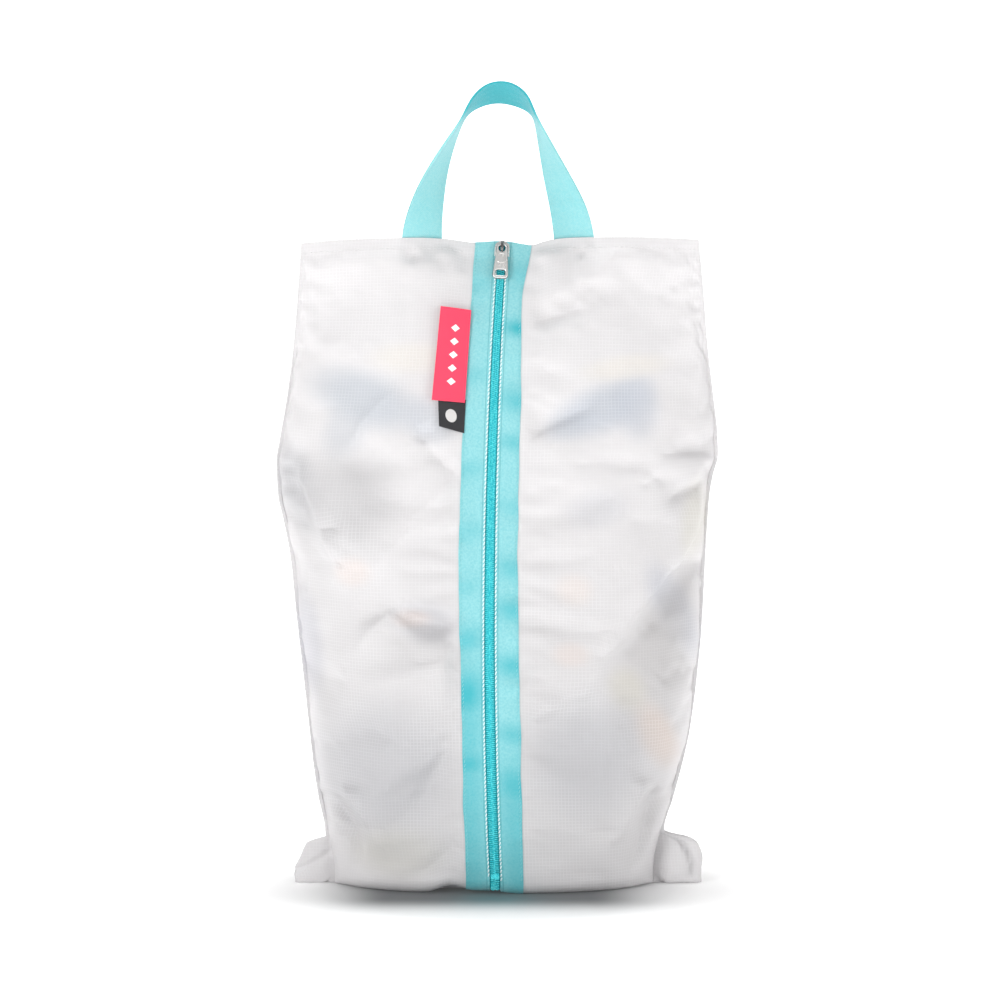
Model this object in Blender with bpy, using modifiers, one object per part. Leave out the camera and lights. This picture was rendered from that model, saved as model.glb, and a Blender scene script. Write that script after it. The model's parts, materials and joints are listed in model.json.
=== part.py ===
"""Zipped shoe bag: a standing, filled ripstop pouch with a full-length front zip and a webbing handle.

Frame: metres, +Z up, the zip faces -Y, +X is to the right seen from the front. The origin is on the
floor, in the back panel's part of the base. The zip runs along one circular arc, so its slider turns
about the arc's centre, and every layer beside the zip is laid out from that arc.
"""
import math

import bpy
from mathutils import Matrix, Vector

# Body
HEIGHT = 0.400
SHEET = 0.0009            # thickness that stands for one layer of ripstop
SEAM_DEPTH = 0.0018       # outer face of a panel at its seams, from the seam plane y = 0
BACK_SHARE = 0.85         # the back bulges this much of what the front does
SEAM_FIN = 0.003          # seam allowance that stands out of the upper sides
EAR_FIN = 0.024           # the same at the floor, where the corners stand out as ears
EAR_TOP = 0.044
EAR_FULL = 0.010
CORNER = 0.010            # radius between the front or back and the base
BASE_SEAM_Y = -0.008
BASE_SEAM_GAP = 0.0005
# height and half-width of the outline, from the floor to the top edge
OUTLINE = [
    (0.000, 0.1235), (0.009, 0.1265), (0.034, 0.1120), (0.045, 0.1065), (0.094, 0.1170),
    (0.204, 0.1280), (0.262, 0.1350), (0.334, 0.1275), (0.400, 0.1215),
]

# Zip: the arc through its two ends, and how far it bows out between them
ZIP_TOP = Vector((0.0030, -SEAM_DEPTH, HEIGHT))
ZIP_BOTTOM = Vector((-0.0018, -0.0440, CORNER))
ZIP_BOW = Vector((-0.0055, -0.0320, 0.0))
ROWS = 24
CORNER_ROWS = 4
BASE_ROWS = 3
COLUMNS = 10

GAP = 0.0003              # running gap between neighbours
PANEL_EDGE = 0.0062       # panel edge beside the chain, from the zip's centre line
RIBBON_IN = 0.0048
RIBBON_OUT = 0.0178
RIBBON_THICK = 0.0007
TAPE_IN = 0.0005
TAPE_OUT = 0.0150
TAPE_THICK = 0.0005
TAPE_FLARE = 0.0030       # the tapes part by this much more above the chain
COIL_OUT = 0.0030
COIL_THICK = 0.0018
COIL_TOP = 0.3890
COIL_BOTTOM = 0.0140
THREAD = 0.00025
SEWING_INSET = 0.0011     # stitch lines, in from a ribbon's edges
TOP_SEWING = 0.0062       # stitch line below the top edge

SLIDER_HEIGHT = 0.3925
SLIDER_HALF = 0.0050
SLIDER_WIDE = 0.0088
BRIDGE_WIDE = 0.0018
PIVOT_UP = 0.0021
PIVOT_OUT = 0.00345
PULLER_LENGTH = 0.0195
PULLER_THICK = 0.0011

WEBBING_THICK = 0.0012
HANDLE_START = HEIGHT + GAP
SEWN_IN = 0.0070
# the right half of the handle: outer edge, which becomes the crown's front edge, and inner edge
HANDLE_OUTER = [
    (0.0598, 0.0000, HANDLE_START), (0.0570, -0.0060, 0.4180), (0.0495, -0.0092, 0.4330),
    (0.0408, -0.0111, 0.4480), (0.0310, -0.0120, 0.4620), (0.0225, -0.0120, 0.4770),
    (0.0165, -0.0116, 0.4880), (0.0085, -0.0110, 0.4955), (0.0000, -0.0107, 0.4975),
]
HANDLE_INNER = [
    (0.0343, 0.0000, HANDLE_START), (0.0350, 0.0060, 0.4180), (0.0332, 0.0092, 0.4330),
    (0.0292, 0.0111, 0.4480), (0.0246, 0.0120, 0.4620), (0.0205, 0.0120, 0.4730),
    (0.0150, 0.0116, 0.4790), (0.0080, 0.0110, 0.4830), (0.0000, 0.0107, 0.4845),
]
HANDLE_STATIONS = 26

# Labels: height of the middle of the sewn edge, width and length
LABEL_THICK = 0.0005
LABEL_LEAN = math.radians(3.0)
RED_LABEL = {"height": 0.3330, "wide": 0.0205, "long": 0.0570}
BLACK_LABEL = {"height": 0.2935, "wide": 0.0170, "long": 0.0190}

COLOURS = {
    "ripstop": ((0.84, 0.85, 0.87), 0.55, 0.0),
    "ribbon": ((0.35, 0.79, 0.81), 0.70, 0.0),
    "zip_tape": ((0.02, 0.50, 0.60), 0.75, 0.0),
    "zip_coil": ((0.01, 0.45, 0.56), 0.45, 0.0),
    "thread": ((0.55, 0.88, 0.90), 0.70, 0.0),
    "white_thread": ((0.86, 0.87, 0.88), 0.70, 0.0),
    "nickel": ((0.78, 0.77, 0.75), 0.22, 1.0),
    "webbing": ((0.22, 0.72, 0.76), 0.75, 0.0),
    "red_label": ((0.90, 0.05, 0.12), 0.65, 0.0),
    "black_label": ((0.03, 0.03, 0.035), 0.70, 0.0),
}


# ---------------------------------------------------------------- scene helpers
def clear_scene():
    for old in list(bpy.data.objects):
        bpy.data.objects.remove(old, do_unlink=True)
    for old in list(bpy.data.collections):
        bpy.data.collections.remove(old)


def make_collection(name):
    made = bpy.data.collections.new(name)
    bpy.context.scene.collection.children.link(made)
    return made


def make_material(name):
    colour, roughness, metallic = COLOURS[name]
    made = bpy.data.materials.new(name)
    made.use_nodes = True
    shader = made.node_tree.nodes["Principled BSDF"]
    shader.inputs["Base Color"].default_value = (*colour, 1.0)
    shader.inputs["Roughness"].default_value = roughness
    shader.inputs["Metallic"].default_value = metallic
    made.diffuse_color = (*colour, 1.0)
    return made


def finish_object(made, material, collection):
    made.data.materials.append(material)
    collection.objects.link(made)
    return made


def sheet_object(name, rows, thickness, material, collection):
    """A sheet through rows of points, given a thickness on the side that its faces point away from."""
    wide = len(rows[0])
    faces = []
    for i in range(len(rows) - 1):
        for j in range(wide - 1):
            a = i * wide + j
            faces.append((a, a + 1, a + wide + 1, a + wide))
    mesh = bpy.data.meshes.new(name)
    mesh.from_pydata([tuple(p) for row in rows for p in row], [], faces)
    mesh.update()
    mesh.shade_smooth()
    made = finish_object(bpy.data.objects.new(name, mesh), material, collection)
    solid = made.modifiers.new("thickness", "SOLIDIFY")
    solid.thickness = thickness
    solid.offset = -1.0
    return made


def thread_object(name, points, material, collection):
    """A thread as a thin round wire with capped ends."""
    curve = bpy.data.curves.new(name, "CURVE")
    curve.dimensions = "3D"
    curve.bevel_depth = THREAD
    curve.bevel_resolution = 0
    curve.use_fill_caps = True
    spline = curve.splines.new("POLY")
    spline.points.add(len(points) - 1)
    for knot, place in zip(spline.points, points):
        knot.co = (*place, 1.0)
    return finish_object(bpy.data.objects.new(name, curve), material, collection)


def box_mesh(low, high):
    """A box between two corners, made from Blender's cube."""
    size = [h - l for l, h in zip(low, high)]
    middle = [(l + h) / 2 for l, h in zip(low, high)]
    bpy.ops.mesh.primitive_cube_add(size=1.0)
    cube = bpy.context.active_object
    mesh = cube.data
    mesh.transform(Matrix.Translation(middle) @ Matrix.Diagonal((*size, 1.0)))
    bpy.data.objects.remove(cube, do_unlink=True)
    return mesh


# ---------------------------------------------------------------- shape of the bag
def through(points, where):
    """A smooth curve through (place, value) points, read at a place."""
    k = 0
    while k < len(points) - 2 and where > points[k + 1][0]:
        k += 1
    (x0, y0), (x1, y1) = points[k], points[k + 1]
    before = points[k - 1] if k else points[k]
    after = points[min(k + 2, len(points) - 1)]
    slope_0 = (y1 - before[1]) / (x1 - before[0])
    slope_1 = (after[1] - y0) / (after[0] - x0)
    step = x1 - x0
    t = min(max((where - x0) / step, 0.0), 1.0)
    return (
        (2 * t**3 - 3 * t**2 + 1) * y0
        + (t**3 - 2 * t**2 + t) * step * slope_0
        + (3 * t**2 - 2 * t**3) * y1
        + (t**3 - t**2) * step * slope_1
    )


def ease(low, high, value):
    t = min(max((value - low) / (high - low), 0.0), 1.0)
    return t * t * (3 - 2 * t)


def zip_arc():
    """Centre, radius, the directions of the arc's bow, chord and axis, and half its angle."""
    chord = ZIP_TOP - ZIP_BOTTOM
    up = chord.normalized()
    bow = ZIP_BOW - up * ZIP_BOW.dot(up)
    rise = bow.length
    radius = chord.length**2 / (8 * rise) + rise / 2
    out = bow.normalized()
    centre = (ZIP_TOP + ZIP_BOTTOM) / 2 - out * (radius - rise)
    half = math.asin(chord.length / (2 * radius))
    return centre, radius, out, up, up.cross(out).normalized(), half


ARC_CENTRE, ARC_RADIUS, ARC_OUT, ARC_UP, ARC_AXIS, ARC_HALF = zip_arc()


def zip_point(angle):
    return ARC_CENTRE + ARC_RADIUS * (ARC_OUT * math.cos(angle) + ARC_UP * math.sin(angle))


def zip_angle(height):
    """The angle at which the arc reaches a height."""
    low, high = -ARC_HALF, ARC_HALF
    for _ in range(50):
        middle = (low + high) / 2
        low, high = (middle, high) if zip_point(middle).z < height else (low, middle)
    return (low + high) / 2


def half_width(z):
    return through(OUTLINE, z)


def fin_width(z):
    return SEAM_FIN + (EAR_FIN - SEAM_FIN) * (1 - ease(EAR_FULL, EAR_TOP, z))


def roundness(x, z):
    """Share of the full depth at x: a lens at the top edge, and fuller towards the floor."""
    full = ease(0.0, 0.42, (HEIGHT - z) / HEIGHT)
    inside = min(abs(x) / (half_width(z) - fin_width(z)), 1.0)
    return (1 - inside ** (2.0 + 0.5 * full)) ** (1.0 - 0.46 * full)


def depth_at(x, z, side):
    """Distance of a panel's outer face from the seam plane. side is -1 for the front, 1 for the back."""
    bulge = -zip_point(zip_angle(z)).y - SEAM_DEPTH
    share = 1.0 if side < 0 else BACK_SHARE
    return SEAM_DEPTH + share * bulge * roundness(x, z)


def panel_point(x, z, side):
    return Vector((x, side * depth_at(x, z, side), z))


def corner_point(x, part, side):
    """A point on the way round the lower corner (part 0 to 1) and along the base (part 1 to 2)."""
    depth = depth_at(x, CORNER, side)
    if depth <= SEAM_DEPTH + 1e-6:  # the flat seam fin goes straight down
        return Vector((x, side * depth, CORNER + (GAP - CORNER) * part / 2))
    radius = min(CORNER, 0.6 * depth)
    if part <= 1:
        turn = part * math.pi / 2
        out = depth - radius + radius * math.cos(turn)
        return Vector((x, side * out, CORNER * (1 - math.sin(turn))))
    seam = base_seam_y(x) + side * BASE_SEAM_GAP / 2
    start = side * (depth - radius)
    return Vector((x, start + (seam - start) * (part - 1), 0.0))


def base_seam_y(x):
    """The base seam lies a little forward of the seam plane, and curves in to the side seams."""
    body = half_width(CORNER) - fin_width(CORNER)
    return BASE_SEAM_Y * (1 - ease(0.45, 0.85, abs(x) / body))


def front_normal(x, z):
    step = 0.0005
    z = min(max(z, CORNER + step), HEIGHT - step)
    across = panel_point(x + step, z, -1) - panel_point(x - step, z, -1)
    upward = panel_point(x, z + step, -1) - panel_point(x, z - step, -1)
    return across.cross(upward).normalized()


def row_heights():
    """Heights of the rows of faces from the top edge to the base's corner, even along the zip."""
    return [zip_point(ARC_HALF - 2 * ARC_HALF * k / ROWS).z for k in range(ROWS + 1)]


def columns_between(inner, z):
    """x from an inner edge to the seam edge on the right, closer together at the side."""
    body = half_width(z) - fin_width(z)
    inward = [inner + (body - inner) * math.sin(math.pi / 2 * k / COLUMNS) for k in range(COLUMNS + 1)]
    return inward + [half_width(z)]


# ---------------------------------------------------------------- fabric panels
def panel_rows(columns, side):
    rows = [[panel_point(x, z, side) for x in columns(z)] for z in row_heights()]
    for part in base_parts():
        rows.append([corner_point(x, part, side) for x in columns(CORNER)])
    return rows


def make_front_panel(name, hand, materials, collection):
    """One half of the front, from the zip to a side seam and round to the base seam. hand is -1 on the left."""

    def columns(z):
        edge = zip_point(zip_angle(z)).x * hand + PANEL_EDGE
        return [hand * x for x in columns_between(edge, z)][:: hand]

    rows = panel_rows(columns, -1)
    return sheet_object(name, [row[::-1] for row in rows], SHEET, materials["ripstop"], collection)


def make_back_panel(materials, collection):
    def columns(z):
        right = columns_between(0.0, z)
        return [-x for x in right[:0:-1]] + right

    return sheet_object("back_panel", panel_rows(columns, 1), SHEET, materials["ripstop"], collection)


def make_side_binding(name, hand, materials, collection):
    """Binding tape sewn between the front's and the back's seam allowances."""
    half = SEAM_DEPTH - SHEET - GAP
    rows = []
    for z in [h for h in row_heights() if h < HEIGHT - 0.001]:
        rows.append([Vector((hand * x, -half, z)) for x in (half_width(z) - 0.0027, half_width(z) - GAP)])
    ordered = [row[:: -hand] for row in rows]
    return sheet_object(name, ordered, 2 * half, materials["white_thread"], collection)


# ---------------------------------------------------------------- zip, ribbons and stitching
def strip_rows(hand, inner, outer, lift, low, high, across=2, turn_under=0.0):
    """Rows of points along the zip between two distances from its centre line, lifted off the front's face.

    turn_under says how far the strip goes on round the lower corner (to 1) and along the base (to 2).
    """
    rows = []
    for z in [high] + [z for z in row_heights() if low + 0.002 < z < high - 0.002] + [low]:
        places = strip_places(hand, inner(z), outer(z), zip_point(zip_angle(z)).x, across)
        rows.append([panel_point(x, z, -1) + lift * front_normal(x, z) for x in places])
    places = strip_places(hand, inner(low), outer(low), ZIP_BOTTOM.x, across)
    for part in [part for part in base_parts() if part <= turn_under]:
        turn = min(part, 1.0) * math.pi / 2
        out = Vector((0.0, -math.cos(turn), -math.sin(turn)))
        rows.append([corner_point(x, part, -1) + lift * out for x in places])
    return [row[:: -hand] for row in rows]


def strip_places(hand, near, far, middle, across):
    return [middle + hand * (near + (far - near) * k / across) for k in range(across + 1)]


def base_parts():
    """How far round the lower corner (to 1) and along the base (to 2) each row of faces lies."""
    corner = [k / CORNER_ROWS for k in range(1, CORNER_ROWS + 1)]
    return corner + [1 + k / BASE_ROWS for k in range(1, BASE_ROWS + 1)]


def constant(value):
    return lambda z: value


def make_ribbon(name, hand, materials, collection):
    top = HEIGHT - GAP
    lift = GAP + RIBBON_THICK
    rows = strip_rows(hand, constant(RIBBON_IN), constant(RIBBON_OUT), lift, CORNER, top, turn_under=0.5)
    return sheet_object(name, rows, RIBBON_THICK, materials["ribbon"], collection)


def make_tape(name, hand, materials, collection):
    def inner(z):
        return TAPE_IN + TAPE_FLARE * ease(COIL_TOP - 0.003, COIL_TOP + 0.003, z)

    low, high = CORNER, HEIGHT - GAP
    rows = strip_rows(hand, inner, constant(TAPE_OUT), -(SHEET + GAP), low, high, turn_under=2.0)
    return sheet_object(name, rows, TAPE_THICK, materials["zip_tape"], collection)


def make_coil(name, hand, materials, collection):
    """One side of the chain, on the outer face of its tape."""
    lift = COIL_THICK - SHEET + GAP / 2
    rows = strip_rows(hand, constant(TAPE_IN), constant(COIL_OUT), lift, COIL_BOTTOM, COIL_TOP)
    return sheet_object(name, rows, COIL_THICK, materials["zip_coil"], collection)


def make_ribbon_stitch(name, hand, distance, materials, collection):
    lift = 2 * GAP + RIBBON_THICK + THREAD
    low, high = CORNER, HEIGHT - 0.002
    rows = strip_rows(hand, constant(distance), constant(distance + THREAD), lift, low, high, across=1)
    return thread_object(name, [row[0] for row in rows], materials["thread"], collection)


def make_top_stitch(name, hand, materials, collection):
    """The seam that closes the top edge, on the front's face, from beside the ribbon to the side seam."""
    z = HEIGHT - TOP_SEWING
    start, end = RIBBON_OUT + 0.004, half_width(z) - 0.006
    lift = GAP + THREAD
    points = []
    for k in range(11):
        x = hand * (start + (end - start) * k / 10)
        points.append(panel_point(x, z, -1) + lift * front_normal(x, z))
    return thread_object(name, points, materials["white_thread"], collection)


def make_side_stitch(name, hand, materials, collection):
    """The side seam's thread, on the front's seam allowance."""
    out = SEAM_DEPTH + GAP + THREAD
    points = []
    for z in row_heights():
        if CORNER < z < HEIGHT - 0.005:
            points.append(Vector((hand * (half_width(z) - 0.0012), -out, z)))
    return thread_object(name, points, materials["white_thread"], collection)


def zip_frame(height):
    """Local frame on the zip: X across, Y up along the chain, Z out of the bag."""
    angle = zip_angle(height)
    place = zip_point(angle)
    upward = ARC_UP * math.cos(angle) - ARC_OUT * math.sin(angle)
    across = upward.cross(front_normal(place.x, height)).normalized()
    turn = Matrix((across, upward, across.cross(upward))).transposed().to_4x4()
    return Matrix.Translation(place) @ turn


def make_bottom_stop(materials, collection):
    """A metal staple that closes the lower end of the chain."""
    low = (-0.0030, -0.0011, -SHEET + GAP / 2)
    high = (0.0030, 0.0011, COIL_THICK - SHEET + GAP / 2)
    made = bpy.data.objects.new("zip_bottom_stop", box_mesh(low, high))
    finish_object(made, materials["nickel"], collection)
    made.matrix_world = zip_frame(COIL_BOTTOM - 0.0020)
    rounded = made.modifiers.new("edges", "BEVEL")
    rounded.width = 0.0003
    rounded.segments = 1
    return made


def make_slider(materials, collection):
    """Front and back plates joined by a wedge, with a bridge that holds the puller."""
    wide, half, bridge = SLIDER_WIDE / 2, SLIDER_HALF, BRIDGE_WIDE / 2
    boxes = [
        ((-wide, -half, 0.0014), (wide, half, 0.0024)),
        ((-wide + 0.0002, -half, -0.0032), (wide - 0.0002, half, -0.0021)),
        ((-bridge, 0.0022, -0.0026), (bridge, half - 0.0004, 0.0020)),
        ((-bridge, 0.0034, 0.0020), (bridge, 0.0046, 0.0050)),
        ((-bridge, -0.0018, 0.0020), (bridge, -0.0006, 0.0050)),
        ((-bridge, -0.0018, 0.0045), (bridge, 0.0046, 0.0055)),
    ]
    made = bpy.data.objects.new("slider_body", box_mesh(*boxes[0]))
    finish_object(made, materials["nickel"], collection)
    cutters = make_collection("slider_pieces")
    made.matrix_world = zip_frame(SLIDER_HEIGHT)
    for k, corners in enumerate(boxes[1:]):
        piece = bpy.data.objects.new(f"slider_piece_{k}", box_mesh(*corners))
        piece.matrix_world = made.matrix_world
        piece.hide_render = True
        piece.display_type = "WIRE"
        cutters.objects.link(piece)
        joined = made.modifiers.new(f"join_{k}", "BOOLEAN")
        joined.operation = "UNION"
        joined.object = piece
    return made


def rounded_outline(wide_top, wide_bottom, top, bottom, radius):
    """Corner points of a plate outline with rounded corners, as (x, y)."""
    corners = [
        (wide_top / 2, top, 0.0), (-wide_top / 2, top, 90.0),
        (-wide_bottom / 2, bottom, 180.0), (wide_bottom / 2, bottom, 270.0),
    ]
    points = []
    for x, y, start in corners:
        middle = (x - math.copysign(radius, x), y - math.copysign(radius, y - (top + bottom) / 2))
        for k in range(4):
            turn = math.radians(start + 30.0 * k)
            points.append((middle[0] + radius * math.cos(turn), middle[1] + radius * math.sin(turn)))
    return points


def make_puller(materials, collection):
    """A flat tab with an eye round the slider's bridge and a window near its free end."""
    curve = bpy.data.curves.new("slider_puller", "CURVE")
    curve.dimensions = "2D"
    curve.fill_mode = "BOTH"
    curve.extrude = PULLER_THICK / 2
    tip = PIVOT_UP + 0.0007 - PULLER_LENGTH
    outlines = [
        rounded_outline(0.0074, 0.0086, 0.0007, tip - PIVOT_UP, 0.0018),
        rounded_outline(0.0032, 0.0032, -0.0007, -0.0046, 0.0006),
        rounded_outline(0.0060, 0.0064, tip - PIVOT_UP + 0.0056, tip - PIVOT_UP + 0.0016, 0.0008),
    ]
    for outline in outlines:
        spline = curve.splines.new("POLY")
        spline.points.add(len(outline) - 1)
        spline.use_cyclic_u = True
        for knot, (x, y) in zip(spline.points, outline):
            knot.co = (x, y, 0.0, 1.0)
    made = finish_object(bpy.data.objects.new("slider_puller", curve), materials["nickel"], collection)
    made.matrix_world = zip_frame(SLIDER_HEIGHT) @ Matrix.Translation((0.0, PIVOT_UP, PIVOT_OUT))
    return made


# ---------------------------------------------------------------- handle and labels
def edge_curve(points, stations):
    """Points evenly spread over a smooth curve through a handle edge's points."""
    axes = [[(k, p[axis]) for k, p in enumerate(points)] for axis in range(3)]
    last = len(points) - 1
    return [
        Vector([through(axis, last * k / (stations - 1)) for axis in axes]) for k in range(stations)
    ]


def make_handle(materials, collection):
    """Webbing loop: flat over the seam, and turned a quarter so that the crown's inner face shows."""
    outer = edge_curve(HANDLE_OUTER, HANDLE_STATIONS)
    inner = edge_curve(HANDLE_INNER, HANDLE_STATIONS)
    rows = [[i, (i + o) / 2, o] for i, o in zip(inner, outer)]
    made = sheet_object("handle_webbing", rows, WEBBING_THICK, materials["webbing"], collection)
    made.modifiers["thickness"].offset = 0.0
    made.modifiers["thickness"].use_even_offset = False
    mirror = made.modifiers.new("other_half", "MIRROR")
    mirror.merge_threshold = 0.0001
    made.modifiers.move(1, 0)
    return made


def make_handle_end(name, hand, materials, collection):
    """The end of the webbing that is sewn into the top seam."""
    outer, inner = HANDLE_OUTER[0][0], HANDLE_INNER[0][0]
    half = WEBBING_THICK / 2
    xs = sorted((hand * outer, hand * inner))
    mesh = box_mesh((xs[0], -half, HEIGHT - SEWN_IN), (xs[1], half, HEIGHT))
    return finish_object(bpy.data.objects.new(name, mesh), materials["webbing"], collection)


def make_label(name, label, lift, material, collection):
    """A small woven label, sewn in along the left ribbon's outer edge. Its origin is on that edge."""
    z = label["height"]
    edge = zip_point(zip_angle(z)).x - RIBBON_OUT - GAP
    out = front_normal(edge, z)
    upward = (panel_point(edge, z + 0.01, -1) - panel_point(edge, z - 0.01, -1)).normalized()
    across = upward.cross(out).normalized()
    turn = Matrix((across, upward, out)).transposed().to_4x4()
    place = panel_point(edge, z, -1) + lift * out
    mesh = box_mesh(
        (-label["wide"], -label["long"] / 2, 0.0), (-GAP, label["long"] / 2, LABEL_THICK)
    )
    made = finish_object(bpy.data.objects.new(name, mesh), material, collection)
    made.matrix_world = Matrix.Translation(place) @ turn @ Matrix.Rotation(-LABEL_LEAN, 4, "Z")
    return made


def main():
    clear_scene()
    collection = make_collection("shoe_bag")
    materials = {name: make_material(name) for name in COLOURS}
    make_back_panel(materials, collection)
    for side, hand in (("left", -1), ("right", 1)):
        make_front_panel(f"front_{side}_panel", hand, materials, collection)
        make_side_binding(f"side_seam_binding_{side}", hand, materials, collection)
        make_ribbon(f"ribbon_{side}", hand, materials, collection)
        make_tape(f"zip_tape_{side}", hand, materials, collection)
        make_coil(f"zip_coil_{side}", hand, materials, collection)
        inner, outer = RIBBON_IN + SEWING_INSET, RIBBON_OUT - SEWING_INSET
        make_ribbon_stitch(f"ribbon_{side}_inner_stitch", hand, inner, materials, collection)
        make_ribbon_stitch(f"ribbon_{side}_outer_stitch", hand, outer, materials, collection)
        make_top_stitch(f"top_seam_stitch_{side}", hand, materials, collection)
        make_side_stitch(f"side_seam_stitch_{side}", hand, materials, collection)
        make_handle_end(f"handle_end_{side}", hand, materials, collection)
    make_bottom_stop(materials, collection)
    make_slider(materials, collection)
    make_puller(materials, collection)
    make_handle(materials, collection)
    make_label("label_red", RED_LABEL, 0.0016, materials["red_label"], collection)
    make_label("label_black", BLACK_LABEL, 0.0008, materials["black_label"], collection)


main()
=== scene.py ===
import json
import math

import bmesh
import bpy
import numpy as np
from mathutils import Matrix, Vector, noise


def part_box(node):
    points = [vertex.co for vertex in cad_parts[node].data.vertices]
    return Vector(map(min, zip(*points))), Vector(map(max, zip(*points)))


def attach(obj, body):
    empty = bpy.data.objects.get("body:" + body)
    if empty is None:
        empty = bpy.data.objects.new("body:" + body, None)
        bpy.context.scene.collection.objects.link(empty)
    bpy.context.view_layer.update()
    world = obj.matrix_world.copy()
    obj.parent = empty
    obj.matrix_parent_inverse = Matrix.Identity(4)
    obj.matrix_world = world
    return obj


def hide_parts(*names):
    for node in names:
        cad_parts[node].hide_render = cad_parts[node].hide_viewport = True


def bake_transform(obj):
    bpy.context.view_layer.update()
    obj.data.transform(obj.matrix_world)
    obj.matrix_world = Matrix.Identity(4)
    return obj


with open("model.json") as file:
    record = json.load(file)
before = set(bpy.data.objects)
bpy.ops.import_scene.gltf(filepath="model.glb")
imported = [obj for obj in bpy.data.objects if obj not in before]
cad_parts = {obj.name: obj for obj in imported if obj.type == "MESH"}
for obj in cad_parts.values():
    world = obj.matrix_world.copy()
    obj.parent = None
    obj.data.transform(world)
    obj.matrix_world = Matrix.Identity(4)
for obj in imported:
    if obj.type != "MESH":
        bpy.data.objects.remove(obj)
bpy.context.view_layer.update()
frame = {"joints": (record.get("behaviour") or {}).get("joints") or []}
JOINTS = {joint["name"]: joint for joint in frame["joints"]}
SIDES = (("left", -1), ("right", 1))

# ---------------------------------------------------------------- sizes, in metres
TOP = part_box("back_panel")[1].z
CORNER = 0.010             # height at which the front and the back start to turn under
SEAM_DEPTH = 0.0008        # half of the distance between the front and the back at their seams
BACK_SHARE = 0.85          # how full the back is, compared with the front
MIDDLE = TOP / 2           # long pieces of the front are made as an upper and a lower part, which meet near this height
CLOTH_THICK = 0.00030

# each ribbon's inner edge, as height and distance from the zip's centre line
RIBBON_IN = [(0.00, 0.0033), (0.10, 0.0032), (0.25, 0.0030), (0.36, 0.0026), (0.40, 0.0024)]
RIBBON_OUT = 0.0176
RIBBON_THICK = 0.00045
RIBBON_LIFT = 0.00045
PANEL_EDGE = 0.0062
TAPE_IN = 0.0002
TAPE_OUT = 0.0150
TAPE_THICK = 0.0004
COIL_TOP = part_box("zip_coil_left")[1].z
COIL_BOTTOM = 0.0030
COIL_PITCH = 0.00125
COIL_WIRE = 0.00029

# each ribbon's outer edge, as height and distance from the zip's centre line
RIBBON_EDGE = {
    -1: [
        (0.000, 0.0177), (0.109, 0.0172), (0.219, 0.0188), (0.300, 0.0180), (0.360, 0.0172), (0.400, 0.0168),
    ],
    1: [
        (0.000, 0.0172), (0.109, 0.0182), (0.219, 0.0166), (0.300, 0.0162), (0.340, 0.0147),
        (0.362, 0.0138), (0.378, 0.0152), (0.397, 0.0176), (0.400, 0.0178),
    ],
}
# outline of the filled bag seen from the front: height, and distance from the middle
LEFT_OUTLINE = [
    (0.0000, 0.1262), (0.0040, 0.1278), (0.0062, 0.1275), (0.0155, 0.1232), (0.0245, 0.1190),
    (0.0262, 0.1170), (0.0285, 0.1072), (0.0340, 0.1074), (0.0526, 0.1112), (0.0710, 0.1140),
    (0.0940, 0.1166), (0.1310, 0.1205), (0.1680, 0.1245), (0.2040, 0.1280), (0.2260, 0.1320),
    (0.2430, 0.1355), (0.2620, 0.1362), (0.2800, 0.1335), (0.3000, 0.1300), (0.3340, 0.1255),
    (0.3710, 0.1225), (0.4000, 0.1205),
]
RIGHT_OUTLINE = [
    (0.0000, 0.1235), (0.0062, 0.1255), (0.0155, 0.1269), (0.0248, 0.1238), (0.0280, 0.1195),
    (0.0298, 0.1140), (0.0318, 0.1040), (0.0340, 0.1032), (0.0526, 0.1084), (0.0710, 0.1133),
    (0.0940, 0.1184), (0.1310, 0.1232), (0.1680, 0.1262), (0.2040, 0.1278), (0.2410, 0.1300),
    (0.2560, 0.1325), (0.2660, 0.1352), (0.2800, 0.1348), (0.3000, 0.1325), (0.3340, 0.1285),
    (0.3710, 0.1255), (0.4000, 0.1228),
]
# where the filled body ends and the flat seam allowance or corner ear begins
LEFT_BODY = [(0.0000, 0.1008), (0.0150, 0.1018), (0.0300, 0.1046), (0.0420, 0.1062), (0.0600, 0.1095)]
RIGHT_BODY = [(0.0000, 0.0955), (0.0150, 0.0968), (0.0320, 0.1002), (0.0420, 0.1030), (0.0600, 0.1075)]
SEAM_FIN = 0.0028          # seam allowance that stands out of the upper sides
# the bottom corners stand out flat as ears; each row of numbers here is left and right
PUFF = {-1: 0.0010, 1: 0.0062}          # how far each ear's cloth stands off its middle
EAR_TOP = {-1: 0.0285, 1: 0.0318}       # height of each ear
BASE_SEAM_Y = -0.008
# where the base's front edge stands off the floor: middle, half width and height
BASE_LIFTS = [(-0.029, 0.010, 0.0044), (-0.008, 0.014, 0.0022)]
LIFT_TOP = 0.045           # the lift dies out at this height

# the top edge sags a little between its corners: distance from the middle, and height
TOP_EDGE = [
    (-0.1210, -0.0034), (-0.0900, -0.0010), (-0.0500, 0.0000), (-0.0300, -0.0010),
    (-0.0150, -0.0030), (0.0020, -0.0022), (0.0180, -0.0046), (0.0215, -0.0050),
    (0.0280, -0.0022), (0.0450, 0.0000), (0.0800, 0.0005), (0.1230, -0.0010),
]

# the coarse grids that the cloth simulation runs on
EAR_ROWS = 18
EAR_ROWS_FROM = 0.044
MAIN_ROWS = 84
CORNER_ROWS = 4
BASE_ROWS = 8
SIDE_COLUMNS = 25
FIN_COLUMNS = 6
STRIP = [0.0, 0.003, PANEL_EDGE, 0.009, 0.012, 0.015, RIBBON_OUT]      # columns beside the zip
COLUMN_COUNT = 2 * (len(STRIP) + SIDE_COLUMNS + FIN_COLUMNS) - 1
CENTRE_COLUMN = COLUMN_COUNT // 2
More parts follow.
